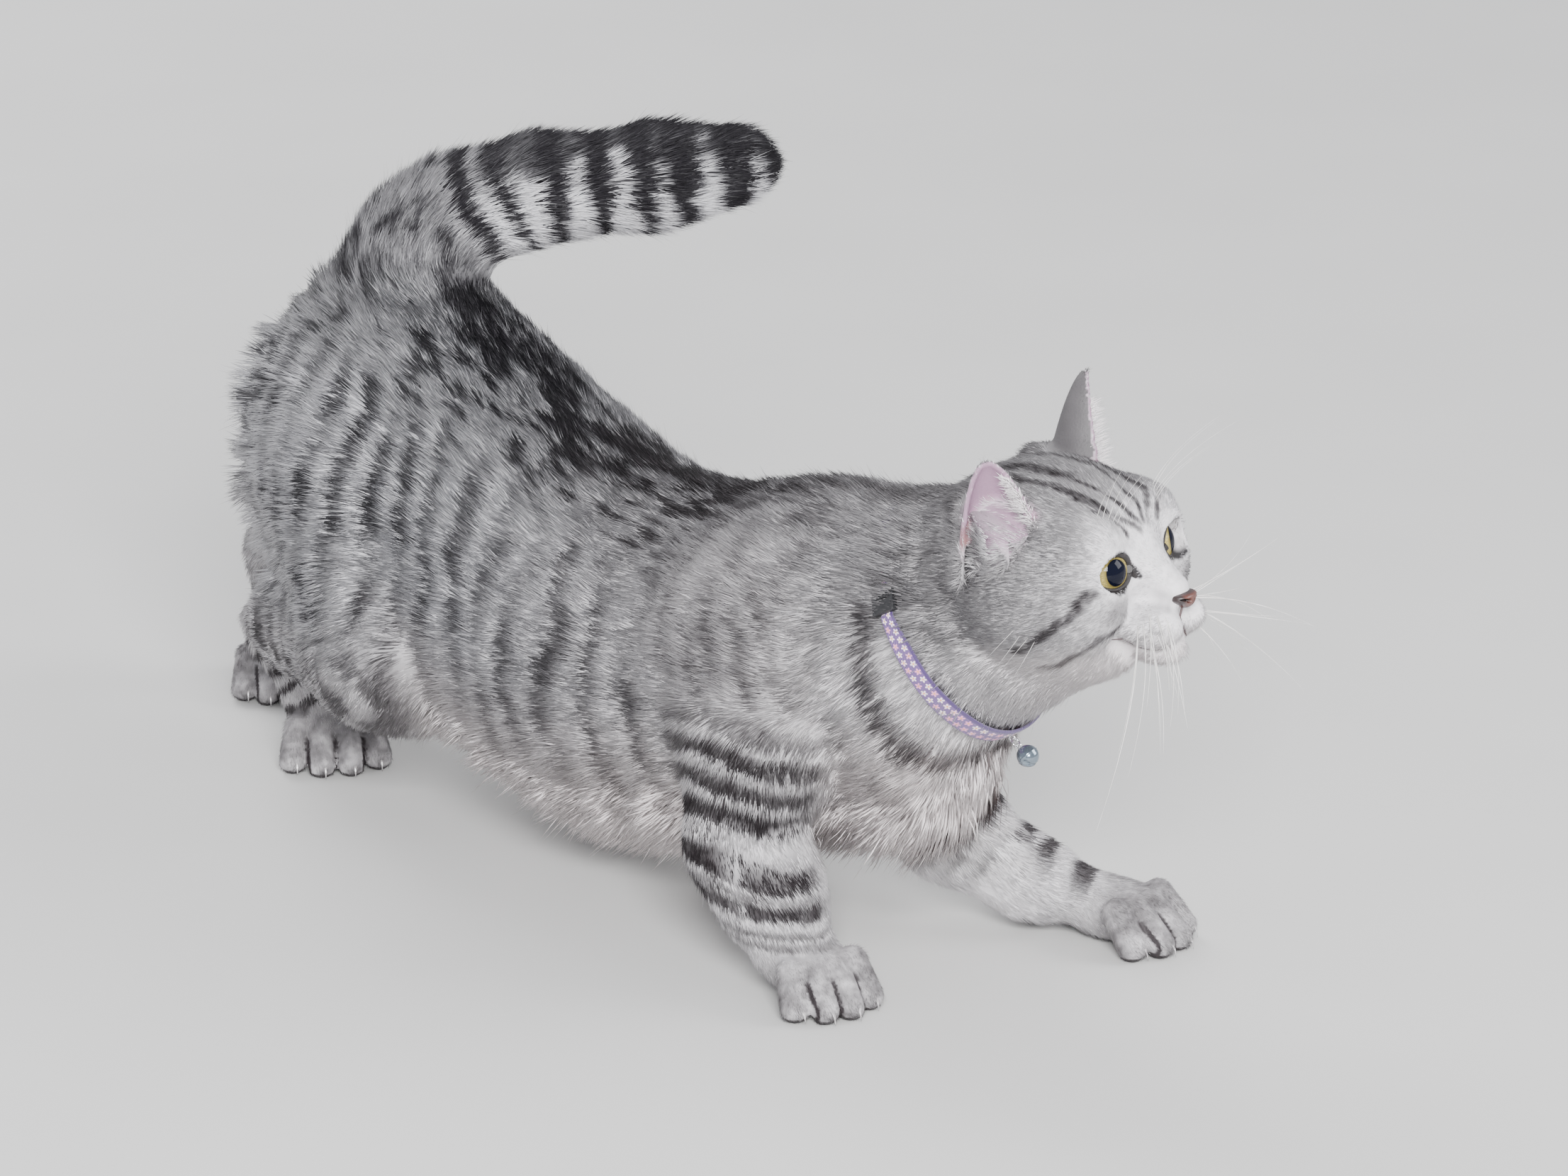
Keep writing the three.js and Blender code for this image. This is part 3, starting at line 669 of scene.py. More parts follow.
def along_chain(joints, p):
    """How far along a limb's line each point lies, and its distance from that line."""
    joints = np.asarray(joints, float)
    best = np.full(len(p), 1e9)
    along = np.zeros(len(p))
    before = 0.0
    for a, b in zip(joints, joints[1:]):
        length = np.linalg.norm(b - a)
        t = np.clip((p - a) @ (b - a) / length ** 2, 0, 1)
        distance = np.linalg.norm(p - a - t[:, None] * (b - a), axis=1)
        closer = distance < best
        best[closer] = distance[closer]
        along[closer] = before + (t * length)[closer]
        before += length
    return along, best


def bands(x, dark):
    """Soft bands across x, one to each unit of it, dark over the given part of each."""
    wave = 0.5 + 0.5 * np.cos(2 * np.pi * x)
    edge = 0.5 + 0.5 * math.cos(math.pi * dark)
    return step(edge - 0.16, edge + 0.16, wave)


def at_levels(x, levels, swell=1.0):
    """Soft bands at given places, each with a half width and a strength."""
    return np.max([
        strength * step(1.2, 0.75, np.abs(x - place) / (half * swell)) for place, half, strength in levels
    ], axis=0)


# Lines on the head, in head coordinates on its left side; the right side mirrors them.
HEAD_LINES = [
    (((0, 52, -25), (16, 56, -15), (25, 53, -9), (31, 50, -3), (36, 46, 3)), 3.4, 0.85),
    (((4, 37, -39), (13, 35, -37), (27, 40, -27), (36, 39, -20), (44, 27, -16)), 3.0, 0.66),
    (((-8, 21, 48), (10, 21, 45), (24, 19, 39), (32, 19, 34)), 3.0, 0.95),
    (((35, 17, 33), (39, 11, 28), (43, 5, 22)), 2.0, 0.75),
    (((12, 12, 47), (26, 8, 40), (36, 5, 32), (42, 2.5, 24)), 2.0, 0.85),
    (((30, 24, 34), (38, 20, 28), (42, 15, 22)), 1.9, 0.7),
    (((-50, 7, 40), (-30, 9, 47), (-9, 10, 50), (10, 11, 47)), 4.4, 0.85),
    (((-45, 24, 38), (-28, 20, 44), (-10, 20, 48)), 3.6, 0.7),
    (((43, 39, -6), (45, 26, -9)), 4.0, 0.3),
    (((55, 11, -9), (50, 14, -7)), 3.2, 0.3),
]
# Lines on the right side of the throat and chest, in body coordinates; the left side mirrors them.
BREAST_LINES = [
    (
        ((-39, -189, 186), (-40, -192, 174), (-41, -193, 164), (-40, -194, 147), (-34, -199, 130),
         (-25, -206, 118), (-13, -215, 110), (4, -222, 109), (14, -223, 109)),
        5.6, 0.66,
    ),
    (((-46, -181, 133), (-38, -184, 110), (-25, -193, 93), (-14, -201, 84)), 3.4, 0.4),
    (((-56, -166, 120), (-46, -172, 100), (-36, -178, 84)), 3.2, 0.5),
    (((-64, -150, 130), (-58, -161, 108), (-48, -168, 88), (-44, -168, 76)), 3.4, 0.6),
]
BREAST_MIDDLE = 14.0
# Painted shade: a dark patch in the hollow where the left foreleg meets the chest.
ARMPIT_SHADE = (((9, -196, 58), (17, -198, 63), (26, -201, 71), (36, -200, 78)), 7.5, 1.0)
# Arcs behind the right elbow, carrying the foreleg's bars on over the trunk's side.
ELBOW_ARCS = (
    (((-84, -120, 122), (-82, -98, 116), (-80, -86, 104), (-76, -80, 92)), 2.6, 0.8),
    (((-84, -112, 108), (-80, -95, 100), (-76, -86, 90)), 2.4, 0.8),
)
# The groove under the nose and the line of the lips, in head coordinates.
MOUTH_LINES = (
    ((61.5, 0, -15), (60, 0, -20), (57, 0, -25)),
    ((57, 0, -25), (54, 6, -29), (48, 13, -31), (40, 19, -30), (32, 24, -27)),
    ((57, 0, -25), (54, -6, -29), (48, -13, -31), (40, -19, -30), (32, -24, -27)),
)


def line_marks(p, lines, soft=0.5):
    """The strongest of several lines at each point."""
    total = np.zeros(len(p))
    for line, half, strength in lines:
        _, distance = along_chain(line, p)
        total = np.maximum(total, strength * step(0.95 + soft, 0.95 - soft, distance / half))
    return total


def head_marks(p):
    q = from_head(p)
    mirrored = np.stack([q[:, 0], np.abs(q[:, 1]), q[:, 2]], axis=1)
    wavy = mirrored + np.stack([noise(p, 7, 3), noise(p, 7, 4), noise(p, 7, 5)], axis=1) * 1.1
    dark = line_marks(wavy, HEAD_LINES, 0.7) * (0.9 + 0.25 * noise(p, 2.4, 41))
    # Grey ticking behind the eyes and on the crown; the muzzle, chin and nose stay white.
    grey = 0.22 * step(44, 20, q[:, 0]) * step(-36, -16, q[:, 2])
    grey += 0.09 * step(30, 44, mirrored[:, 1]) * step(-36, -20, q[:, 2]) * step(52, 40, q[:, 0])
    grey += 0.22 * bump(q[:, 0], 40, 8) * bump(mirrored[:, 1], 23, 7) * bump(q[:, 2], 28, 8)
    grey += 0.5 * bump(q[:, 0], 42, 10) * bump(mirrored[:, 1], 33, 10) * bump(q[:, 2], -9, 8)
    grey += 0.12 * step(-5, -40, q[:, 0]) * step(-40, -20, q[:, 2])
    grey += 0.16 * step(30, 42, q[:, 2]) * step(48, 34, q[:, 0])
    grey *= 1 - 0.85 * step(15, 8, mirrored[:, 1]) * step(38, 46, q[:, 0])
    grey += 0.05 * noise(p, 4, 26) + 0.05 * noise(p, 1.6, 42)
    freckles = 0.25 * step(0.35, 0.8, noise(p, 3.2, 6)) * bump(q[:, 0], 50, 9) * bump(q[:, 2], -22, 9)
    return np.maximum(dark, grey + freckles)


def trunk_marks(p, thigh):
    turned = around_trunk(p)
    off_spine = np.abs(turned + 7 * noise(p, 30, 7))
    wander = 0.22 * noise(p, 34, 8) + 0.1 * noise(p, 13, 9)
    count = np.interp(p[:, 1], (-200, 0, 60, 300), (-8.2, 0, 2.85, 16.5)) + 0.05 * np.sin(p[:, 2] / 28)
    stripes = bands(count + wander, 0.46)
    broken = 0.35 + 0.65 * step(-0.35, 0.3, noise(p, (16, 9, 24), 10))
    # Towards the spine the stripes break up into dashes that lie along it, and crowd together.
    sloped = p.copy()
    sloped[:, 2] -= 0.6 * np.clip(p[:, 1], 0, 150)
    crowd = 0.5 * step(60, 8, off_spine)
    flecks = 0.75 * noise(sloped, (3.4, 8, 3.4), 11) + 0.45 * noise(sloped, (8, 17, 8), 22)
    spots = step(0.3 - crowd, 0.7 - crowd, flecks)
    high = step(62, 34, off_spine)
    low = step(100, 138, off_spine) * (1 - 0.8 * step(0.1, 0.6, thigh))
    front = step(-60, -110, p[:, 1])
    hind = step(40, 100, p[:, 1])
    striped = stripes * broken * (0.52 + 0.14 * hind)
    flecked = 0.5 * spots + 0.14 + 0.14 * step(40, 10, off_spine)
    side = striped * (1 - high) + flecked * high
    side = side * (1 - 0.72 * low) * (1 - 0.25 * front)
    spine = step(13, 5, off_spine) * (0.8 - 0.5 * step(0.0, 0.6, noise(sloped, (4, 10, 4), 12)))
    spine *= 1 - 0.35 * step(120, 160, p[:, 1])
    ticking = 0.08 * (1 - low) + 0.10 * high + 0.08 * noise(p, 5, 13)
    return np.maximum(side, spine) + ticking


def shoulder_marks(p):
    lean = p[:, 1] - 0.5 * p[:, 2]
    patchy = step(-0.45, 0.3, noise(p, (10, 14, 14), 15))
    soft = bands(lean / 15 + 0.3 * noise(p, 20, 14), 0.42) * patchy
    return 0.14 + 0.5 * soft + 0.1 * noise(p, 4, 43)


def breast_marks(p):
    q = p.copy()
    q[:, 0] = BREAST_MIDDLE - np.abs(p[:, 0] - BREAST_MIDDLE)
    wavy = q + np.stack([noise(p, 11, 16), noise(p, 11, 17), noise(p, 11, 18)], axis=1) * 1.6
    return line_marks(wavy, BREAST_LINES)


# Bars and rings: where each lies along its limb, its half width, and its strength.
ELBOW_BARS = (
    (131, 4.6, 0.75), (116, 5.0, 0.9), (101, 4.4, 0.85), (86, 5.2, 0.95), (65, 6.0, 0.95), (46, 5.0, 0.85),
)
WRIST_BARS = ((33, 1.9, 0.5), (27.5, 1.6, 0.45), (54, 2.2, 0.4))
TAIL_RINGS = (
    (18, 5, 0.35), (36, 5, 0.45), (55, 4.6, 0.5), (72, 4.6, 1.0), (90, 4.8, 0.95), (107, 5.4, 1.0),
    (129, 6.2, 1.0), (149, 5.2, 1.0), (167, 8.2, 1.0), (192, 9.0, 1.0), (216, 11, 1.0),
)


def knots_of(joints):
    """How far along a line each of its points lies."""
    return np.append(0, np.cumsum(np.linalg.norm(np.diff(joints, axis=0), axis=1)))


def between(along, knots, rows):
    """Rows of numbers that belong to knots, read at other places along the line."""
    return np.array([np.interp(along, knots, column) for column in rows.T]).T


def tail_marks(p):
    joints = np.array((*TAIL[0], (140, 31, 307)), float)
    along, _ = along_chain(joints, p)
    way = unit(joints[-1] - joints[2])
    above = unit(np.array([0, 0, 1.0]) - way[2] * way)
    out = p - between(along, knots_of(joints), joints)
    height = np.clip(out @ above / 26, -1, 1)
    # The rings lean towards the tip below, and join along the top.
    place = along + (0.8 + 3 * bump(along, 72, 18)) * height + 1.6 * noise(p, 14, 19)
    rings = at_levels(place, TAIL_RINGS, 1 + 0.4 * height)
    top = 0.8 * step(0.55, 0.85, height + 0.2 * noise(p, 9, 23)) * step(60, 90, along)
    base = 0.02 + 0.38 * step(80, 55, along) + 0.1 * step(-0.2, 0.6, height)
    mottled = 0.45 * step(-0.1, 0.5, noise(p, (5, 5, 7), 24)) * step(75, 55, along)
    return np.maximum(np.maximum(rings, top), base + mottled)


def leg_marks(name, p):
    joints = np.array(LEGS[name][0], float)
    along, _ = along_chain(joints, p)
    outward = -1 if name.endswith("right") else 1
    nearest_x = np.interp(along, knots_of(joints), joints[:, 0])
    outside = step(-0.75, -0.1, (p[:, 0] - nearest_x) * outward / 22)
    wobble = 1.6 * noise(p, 14, 20)
    if name == "front_right":
        # The bars arch over the elbow's outside, and fall towards the front.
        droop = np.minimum(0.0085 * (p[:, 1] + 134) ** 2, 13) * step(30, 70, p[:, 2])
        level = p[:, 2] + droop + wobble
        bars = np.maximum(at_levels(level, ELBOW_BARS), at_levels(level, WRIST_BARS))
        return bars * (0.15 + 0.85 * outside) * (0.93 + 0.16 * noise(p, 5, 44)) + 0.06
    if name == "front_left":
        # From inside, this leg is nearly white; its bars run over the front and outside, closer on top.
        bars = bands((along + wobble) / 19, 0.42) * outside
        top = step(0, 10, p[:, 2] - 26) * bands((along + wobble) / 13, 0.4) * 0.6
        return np.maximum(0.8 * bars, 0.5 * top) + 0.04
    bars = bands((along + wobble) / 10, 0.42) * (0.5 + 0.2 * step(120, 170, along))
    return bars * (0.35 + 0.65 * outside) + 0.14 + 0.08 * noise(p, 5, 46)


def paw_marks(name, p):
    q = from_paw(name, p)
    dark = 0.52 + 0.14 * noise(p, 6, 21) + 0.1 * noise(p, 2.0, 25) - 0.12 * step(-14, -24, q[:, 1])
    # Painted shade in the clefts between the toes, low on the paw.
    dark = np.maximum(dark, 1.2 * step(0.6, 0.98, toe_clefts(name, p)) * step(23, 15, q[:, 2]))
    dark = np.maximum(dark, 1.3 * step(3.4, 1.6, q[:, 2]))
    return np.maximum(dark, 1.1 * step(6, 13, q[:, 1]) * step(9, 5, q[:, 2]))


def coat_marks(p, share):
    """How dark the markings are at each point: 0 silver, 1 charcoal."""
    limbs = np.zeros(len(p))
    for name in LEGS:
        for part, marks in (("leg_" + name, leg_marks), ("paw_" + name, paw_marks)):
            has = share[part] > 0.01
            if has.any():
                limbs[has] += share[part][has] * marks(name, p[has])
    trunk = trunk_marks(p, share["thigh"])
    breast = breast_marks(p) * step(-140, -165, p[:, 1])
    white_breast = step(-150, -190, p[:, 1]) * step(175, 150, p[:, 2])
    head_places = from_head(p)
    throat = step(-24, -38, head_places[:, 2]) * step(60, 35, np.abs(head_places[:, 1]))
    neck_side = (trunk * 0.6 + 0.1) * (1 - np.maximum(white_breast, throat))
    total = (
        (share["trunk"] + share["thigh"]) * trunk * (1 - 0.8 * white_breast)
        + share["shoulder"] * (0.25 * trunk + 0.75 * shoulder_marks(p)) * (1 - 0.5 * white_breast)
        + share["neck"] * neck_side
        + share["head"] * head_marks(p)
        + share["tail"] * tail_marks(p)
        + limbs
    )
    total = np.maximum(total, breast * (1 - share["head"]))
    # Painted shade in the hollow where the left foreleg meets the chest.
    total = np.maximum(total, line_marks(p, [ARMPIT_SHADE]))
    total = np.maximum(total, 0.55 * line_marks(p, ELBOW_ARCS))
    return np.clip(total, 0, 1.3)


def coat_warmth(p, share):
    """How much the coat turns from silver to the pinkish white of belly and chest."""
    under = step(85, 140, np.abs(around_trunk(p)))
    breast = step(-140, -180, p[:, 1]) * step(150, 110, p[:, 2])
    jaw = step(-18, -34, from_head(p)[:, 2])
    return np.clip(
        share["trunk"] * np.maximum(under, breast * 0.8)
        + share["shoulder"] * 0.45 + share["trunk"] * 0.25 * step(60, -60, p[:, 1])
        + share["head"] * (0.25 + 0.45 * jaw)
        + share["neck"] * 0.3
        + group(share, "paw_") * 0.3
        + group(share, "leg_") * 0.25,
        0, 1,
    )


# ---------------------------------------------------------------- lie, length and place of the coat
def coat_flow(p, share, normals, ears):
    """The way the coat lies at each point, along the skin."""
    turned = np.abs(around_trunk(p))
    y = p[:, 1]
    rise = np.interp(y, (-120, -40, 5, 50, 85, 130, 180), (0.1, 0.0, 0.35, 0.62, 0.6, 0.35, -0.1))
    slope = rise * step(110, 40, turned) - 0.5 * step(95, 150, turned)
    ones = np.ones(len(p))
    trunk = np.stack([0 * ones, ones, slope], axis=1)
    neck_fall = -0.25 - 0.9 * step(190, 140, p[:, 2])
    neck = np.stack([0 * ones, ones, neck_fall], axis=1)
    head = unit(p - on_head((66, 0, -4))) + 0.5 * head_way((-1, 0, -0.15))
    flow = (share["trunk"] + share["shoulder"])[:, None] * trunk
    flow += share["thigh"][:, None] * unit(np.stack([0 * ones, ones, slope - 0.25], axis=1))
    flow += share["neck"][:, None] * unit(neck)
    flow += share["head"][:, None] * unit(head)
    flow += share["tail"][:, None] * chain_way(TAIL[0], p)
    for name, (joints, _) in LEGS.items():
        flow += share["leg_" + name][:, None] * chain_way(joints, p)
        forwards = np.array((0, -1, -0.5)) @ paw_turn(name).T
        flow += share["paw_" + name][:, None] * forwards
    for name, ear in EARS.items():
        upwards = unit(ear_axes(ear)[1])
        flow = flow * (1 - ears[name][:, None]) + upwards * ears[name][:, None]
    flow -= np.sum(flow * normals, axis=1)[:, None] * normals
    return unit(flow)


def chain_way(joints, p):
    """The way a limb's line runs beside each point."""
    joints = np.asarray(joints, float)
    along, _ = along_chain(joints, p)
    lengths = np.linalg.norm(np.diff(joints, axis=0), axis=1)
    middles = np.cumsum(lengths) - lengths / 2
    ways = unit(np.diff(joints, axis=0))
    return unit(between(along, middles, ways))


def coat_length(p, share):
    """A tuft's length, width, how far its tip stands off the skin, and how many to a square millimetre."""
    under = step(100, 145, np.abs(around_trunk(p))) * step(0.45, 0.05, share["thigh"])
    rear = step(190, 225, p[:, 1]) * step(120, 150, p[:, 2])
    jaw = step(-14, -34, from_head(p)[:, 2])
    back = step(10, -40, from_head(p)[:, 0])
    breast = step(-150, -185, p[:, 1]) * step(170, 130, p[:, 2])
    trunk_share = share["trunk"] + share["shoulder"] + share["thigh"]
    paws = group(share, "paw_")
    legs = group(share, "leg_")
    muzzle = step(34, 46, from_head(p)[:, 0])

    def mix(*by_part):
        trunk, neck, head, tail, leg, paw = by_part
        return (
            trunk_share * trunk + share["neck"] * neck + share["head"] * head
            + share["tail"] * tail + legs * leg + paws * paw
        )

    return (
        mix(
            12.5 + 8 * under + 4 * rear, 12 + 3 * breast, 5.4 + 3.4 * back + 2.4 * jaw - 2.2 * muzzle,
            12, 6.4, 3.0,
        ),
        mix(0.95 + 0.25 * under, 0.92, 0.56 + 0.2 * back - 0.1 * muzzle, 0.95, 0.78, 0.5),
        mix(4.2 + 3.6 * under + 2 * rear, 4.2, 1.7 + 0.9 * back + 0.5 * jaw - 0.5 * muzzle, 4.8, 2.3, 1.1),
        mix(0.74 - 0.3 * under, 0.78, 1.8 - 0.6 * back, 0.85, 1.0, 1.5),
    )


def ear_cover(p, normals):
    """How much each point belongs to each ear, and how much it lies in an ear's hollow."""
    ears = {}
    inner = np.zeros(len(p))
    for name, ear in EARS.items():
        start, _, up, front, _ = ear_axes(ear)
        height = (p - start) @ up
        reach = np.linalg.norm(p - start - np.outer(height, up), axis=1)
        cover = step(2, 12, height) * step(40, 28, reach)
        cover *= step(-3, 2, np.abs(from_head(p)[:, 1]) - 16)
        ears[name] = cover * ear_share
        facing = normals @ front
        hollow = conch(ear)(p)
        inner = np.maximum(inner, ears[name] * step(0.0, 0.35, facing))
        inner = np.maximum(inner, step(1.2, -0.3, hollow) * step(-12, 4, height))
    return ears, inner


ring_axis = unit(COLLAR_AXIS)
ring_right = unit(np.cross(ring_axis, (0, 0, 1)))
ring_top = np.cross(ring_right, ring_axis)


def collar_place(p):
    """Where points lie about the collar: along its axis towards the head, and out from its middle."""
    along = (p - COLLAR_AT) @ ring_axis
    return along, np.linalg.norm(p - COLLAR_AT - np.outer(along, ring_axis), axis=1)


def collar_angle(p):
    """Angle of points round the collar: 0 at the nape, 180 at the throat, and less than 0 on the left."""
    out = p - COLLAR_AT
    return np.degrees(np.arctan2(out @ ring_right, out @ ring_top))


def collar_shows(angle):
    """At the nape the coat hides the collar; further round it shows."""
    return step(66, 73, np.abs(angle))


# Rings of a tuft below its tip: how far along it, how far raised, and how wide.
TUFT_RINGS = {
    1: ((0, 0, 1.0),),
    2: ((0, 0, 0.75), (0.5, 0.72, 1.0)),
}


def tufts_from(root, way, normal, length, width, proud, sag, bend, rings):
    """Tapered three-sided tufts in a row: their points, faces, and how far along its tuft each point is."""
    across = np.cross(normal, way)
    columns = []
    along = []
    for s, lift, wide in (*TUFT_RINGS[rings], (1, 1, 0)):
        middle = root + way * (length * s)[:, None] + normal * (proud * lift - ROOT_SUNK)[:, None]
        middle += across * (bend * length * s * s)[:, None]
        middle[:, 2] -= sag * length * s * s
        half = across * (width * wide / 2)[:, None]
        if s == 1:
            columns.append(middle)
            along.append(1.0)
            continue
        columns += [middle - half, middle + half, middle + normal * (width * wide * 0.42)[:, None]]
        along += [s] * 3
    per = len(columns)
    points = np.stack(columns, axis=1).reshape(-1, 3)
    faces = [(0, 1, 2)]
    for ring in range(rings - 1):
        a = 3 * ring
        for k in range(3):
            b = (k + 1) % 3
            faces += [(a + k, a + 3 + k, a + 3 + b), (a + k, a + 3 + b, a + b)]
    top = 3 * (rings - 1)
    faces += [(top + k, per - 1, top + (k + 1) % 3) for k in range(3)]
    faces = (np.array(faces)[None] + per * np.arange(len(root))[:, None, None]).reshape(-1, 3)
    return points, faces, np.array(along), per


def mesh_of_triangles(name, points, faces):
    mesh = bpy.data.meshes.new(name)
    mesh.vertices.add(len(points))
    mesh.vertices.foreach_set("co", np.asarray(points, np.float32).ravel())
    mesh.loops.add(faces.size)
    mesh.loops.foreach_set("vertex_index", faces.astype(np.int32).ravel())
    mesh.polygons.add(len(faces))
    mesh.polygons.foreach_set("loop_start", np.arange(0, faces.size, 3, dtype=np.int32))
    mesh.polygons.foreach_set("use_smooth", np.ones(len(faces), bool))
    mesh.update()
    return mesh


def paint(mesh, name, values):
    """Keeps three numbers for each vertex, for the materials to read."""
    layer = mesh.attributes.new(name, "FLOAT_COLOR", "POINT")
    whole = np.ones((len(values), 4), np.float32)
    whole[:, :3] = values
    layer.data.foreach_set("color", whole.ravel())


def unwrapped(p, part):
    """The skin rolled out flat round the part's own line, from 0 to 1 each way."""
    if part == "tail":
        joints = np.array(TAIL[0], float)
    elif part in LEGS:
        joints = np.array(LEGS[part][0] + (tuple(in_paw(part, (0, -22, 8))),), float)
    elif part == "head":
        joints = np.array([on_head((-50, 0, 0)), on_head((60, 0, 0))])
    else:
        joints = np.array([(6, -240, 150), (0, -60, 112), (-3, 60, 128), (-4, 240, 190)], float)
    along, _ = along_chain(joints, p)
    knots = knots_of(joints)
    way = chain_way(joints, p)
    middle = between(along, knots, joints)
    out = p - middle
    out = unit(out - np.sum(out * way, axis=1)[:, None] * way)
    first = unit(np.cross(way, (0.31, 0.2, 0.93)))
    turned = np.arctan2(np.sum(np.cross(first, out) * way, axis=1), np.sum(first * out, axis=1))
    # Past the line's ends, the roll goes on by as far as the points lie beyond them.
    over = np.sum((p - middle) * way, axis=1)
    flat = (0.5 + turned / (2 * np.pi), (along + over + PAST_ENDS) / (knots[-1] + 2 * PAST_ENDS))
    return 0.01 + 0.98 * np.stack(flat, axis=1)


def lay_tufts(name, part, rings, shape, marks, warmth, tone):
    """One piece of coat, with its markings, and its place on the rolled-out skin."""
    root = shape[0]
    points, faces, level, per = tufts_from(*shape, rings)
    points[:, 2] = np.maximum(points[:, 2], 0.15)
    mesh = mesh_of_triangles(name, to_frame(points), faces)
    level = np.tile(level, len(root))
    # The third number is the tuft's own tone plus painted shade: darker at the root, brighter at the tip.
    paint(mesh, "coat", np.stack([
        np.repeat(marks, per) * (0.82 + 0.18 * np.minimum(level * 2, 1)),
        np.repeat(warmth, per),
        np.repeat(tone, per) * 0.6 + 0.4 * level,
    ], axis=1))
    patch = np.stack([np.tile([-1, 1, 0] * rings + [0], len(root)), level * 2 - 1], axis=1)
    flat = (np.repeat(unwrapped(root, part), per, axis=0) + patch * 0.0015)[faces.ravel()]
    layer = mesh.uv_layers.new(name="OFBake")
    layer.data.foreach_set("uv", flat.astype(np.float32).ravel())
    mesh.materials.append(coat_finish)
    piece = new_piece(name, mesh)
    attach(piece, "root")


def coat_plan(p, normals, share, ear_total, inner):
    """The measures of coat_length on and off the ears, with the bare places left out."""
    on_ears = (3.8, 0.5, 0.6, 1.5)
    length, width, proud, count = (
        elsewhere * (1 - ear_total) + on_ear * ear_total
        for elsewhere, on_ear in zip(coat_length(p, share), on_ears)
    )
    count *= 1 - 0.85 * inner
    # Bare places: eyes, nose leather, mouth, pads, and the band under the collar where it shows.
    off_tears = 1 - tear_marks(p)
    for side in (1, -1):
        away = np.linalg.norm(p - eye_frame(side)[0], axis=1)
        count *= step(12.5, 13.6, away) * off_tears
        length *= 1 - 0.5 * step(20, 13, away)
        proud *= 1 - 0.5 * step(20, 13, away)
    nose = ellipsoid(on_head(NOSE_AT), np.array(NOSE_RADII) + 0.3, HEAD_TURN)(p)
    count *= nose > 0.2
    near_nose = step(9, 1, nose)
    length *= 1 - 0.5 * near_nose
    proud *= 1 - 0.5 * near_nose
    for line in MOUTH_LINES:
        _, from_mouth = along_chain(on_head(line), p)
        count *= step(0.5, 1.4, from_mouth)
        length *= 1 - 0.4 * step(5, 1, from_mouth)
    count *= 1 - (p[:, 2] < 2.2) * (normals[:, 2] < -0.3)
    along, out = collar_place(p)
    by_collar = (out < 90) & (np.abs(along) < 30)
    shown_collar = collar_shows(collar_angle(p))
    count *= 1 - by_collar * (np.abs(along) < COLLAR_WIDTH / 2 + 0.5) * shown_collar
    proud += by_collar * step(18, 6, along) * (along > 0) * (2.2 - 0.9 * shown_collar)
    return length, width, proud, count


def scatter(rng, corners, p, count):
    """Roots spread over the skin's triangles: a function that reads a vertex value at every root."""
    a, b, c = (p[corners[:, k]] for k in range(3))
    area = np.linalg.norm(np.cross(b - a, c - a), axis=1) / 2
    wanted = area * count[corners].mean(axis=1)
    number = np.floor(wanted + rng.random(len(wanted))).astype(int)
    face = np.repeat(np.arange(len(corners)), number)
    u, v = rng.random((2, len(face)))
    over = u + v > 1
    u[over] = 1 - u[over]
    v[over] = 1 - v[over]
    mixing = np.stack([1 - u - v, u, v], axis=1)

    def at_root(values):
        picked = values[corners[face]]
        return np.einsum("nk,nk...->n...", mixing, picked)

    return at_root


def kind_of_tuft(share, under):
    """Which piece of coat each tuft belongs to, as a place in COAT_PIECES."""
    kind = np.zeros(len(under), int)
    kind[under > 0.5] = 1
    kind[share["tail"] > 0.5] = 2
    kind[share["head"] > 0.5] = 3
    for n, name in enumerate(LEGS):
        kind[share["leg_" + name] + share["paw_" + name] > 0.5] = 4 + n
    return kind


def ruffled(rng, share, root, way, normal, length, width, proud):
    """The tufts in locks: neighbours lean the same way, and every tuft a little its own."""
    total = len(root)
    across = np.cross(normal, way)
    face_like = share["head"] * step(-30, 0, from_head(root)[:, 0]) + group(share, "paw_")
    lean = (0.20 * noise(root, 9, 31) + 0.13 * noise(root, 3.5, 32)) * (1 - 0.75 * face_like)
    lean += rng.normal(0, 0.10, total)
    way = way + across * lean[:, None]
    way = unit(way - np.sum(way * normal, axis=1)[:, None] * normal)
    length = length * rng.uniform(0.75, 1.22, total) * (1 + 0.12 * noise(root, 8, 33))
    width = width * rng.uniform(0.65, 1.25, total)
    proud = proud * rng.uniform(0.55, 1.25, total) * (1 + 0.25 * noise(root, 7, 34))
    stray = rng.random(total) < 0.05 * (1 - 0.8 * face_like)
    proud = np.where(stray, proud * 1.7, proud)
    width = np.where(stray, width * 0.5, width)
    rear = step(150, 215, root[:, 1]) * step(80, 125, root[:, 2]) * (1 - share["tail"])
    locks = step(0.2, 0.75, noise(root, (9, 9, 6), 35))
    proud += rear * 12 * locks
    length *= 1 + 0.5 * rear * locks
    under = step(100, 145, np.abs(around_trunk(root))) * (share["trunk"] + 0.6 * share["neck"])
    under *= step(0.45, 0.05, share["thigh"])
    fringe = under * step(0.0, 0.7, noise(root, 9, 39))
    proud += 3.5 * fringe
    length *= 1 + 0.2 * fringe
    floor_room = np.maximum(root[:, 2] - 0.6, 0)
    sag = np.minimum(0.3 * under, floor_room / np.maximum(length, 1) * 0.5)
    bend = rng.normal(0, 0.07, total)
    return under, face_like, (root, way, normal, length, width, proud, sag, bend)


# Pieces of coat: the name, the part whose line the skin is rolled out round, and the rings of a tuft.
COAT_PIECES = [
    ("body", "body", 1), ("belly", "body", 2), ("tail", "tail", 1), ("head", "head", 1),
    *((name, name, 1) for name in LEGS),
]


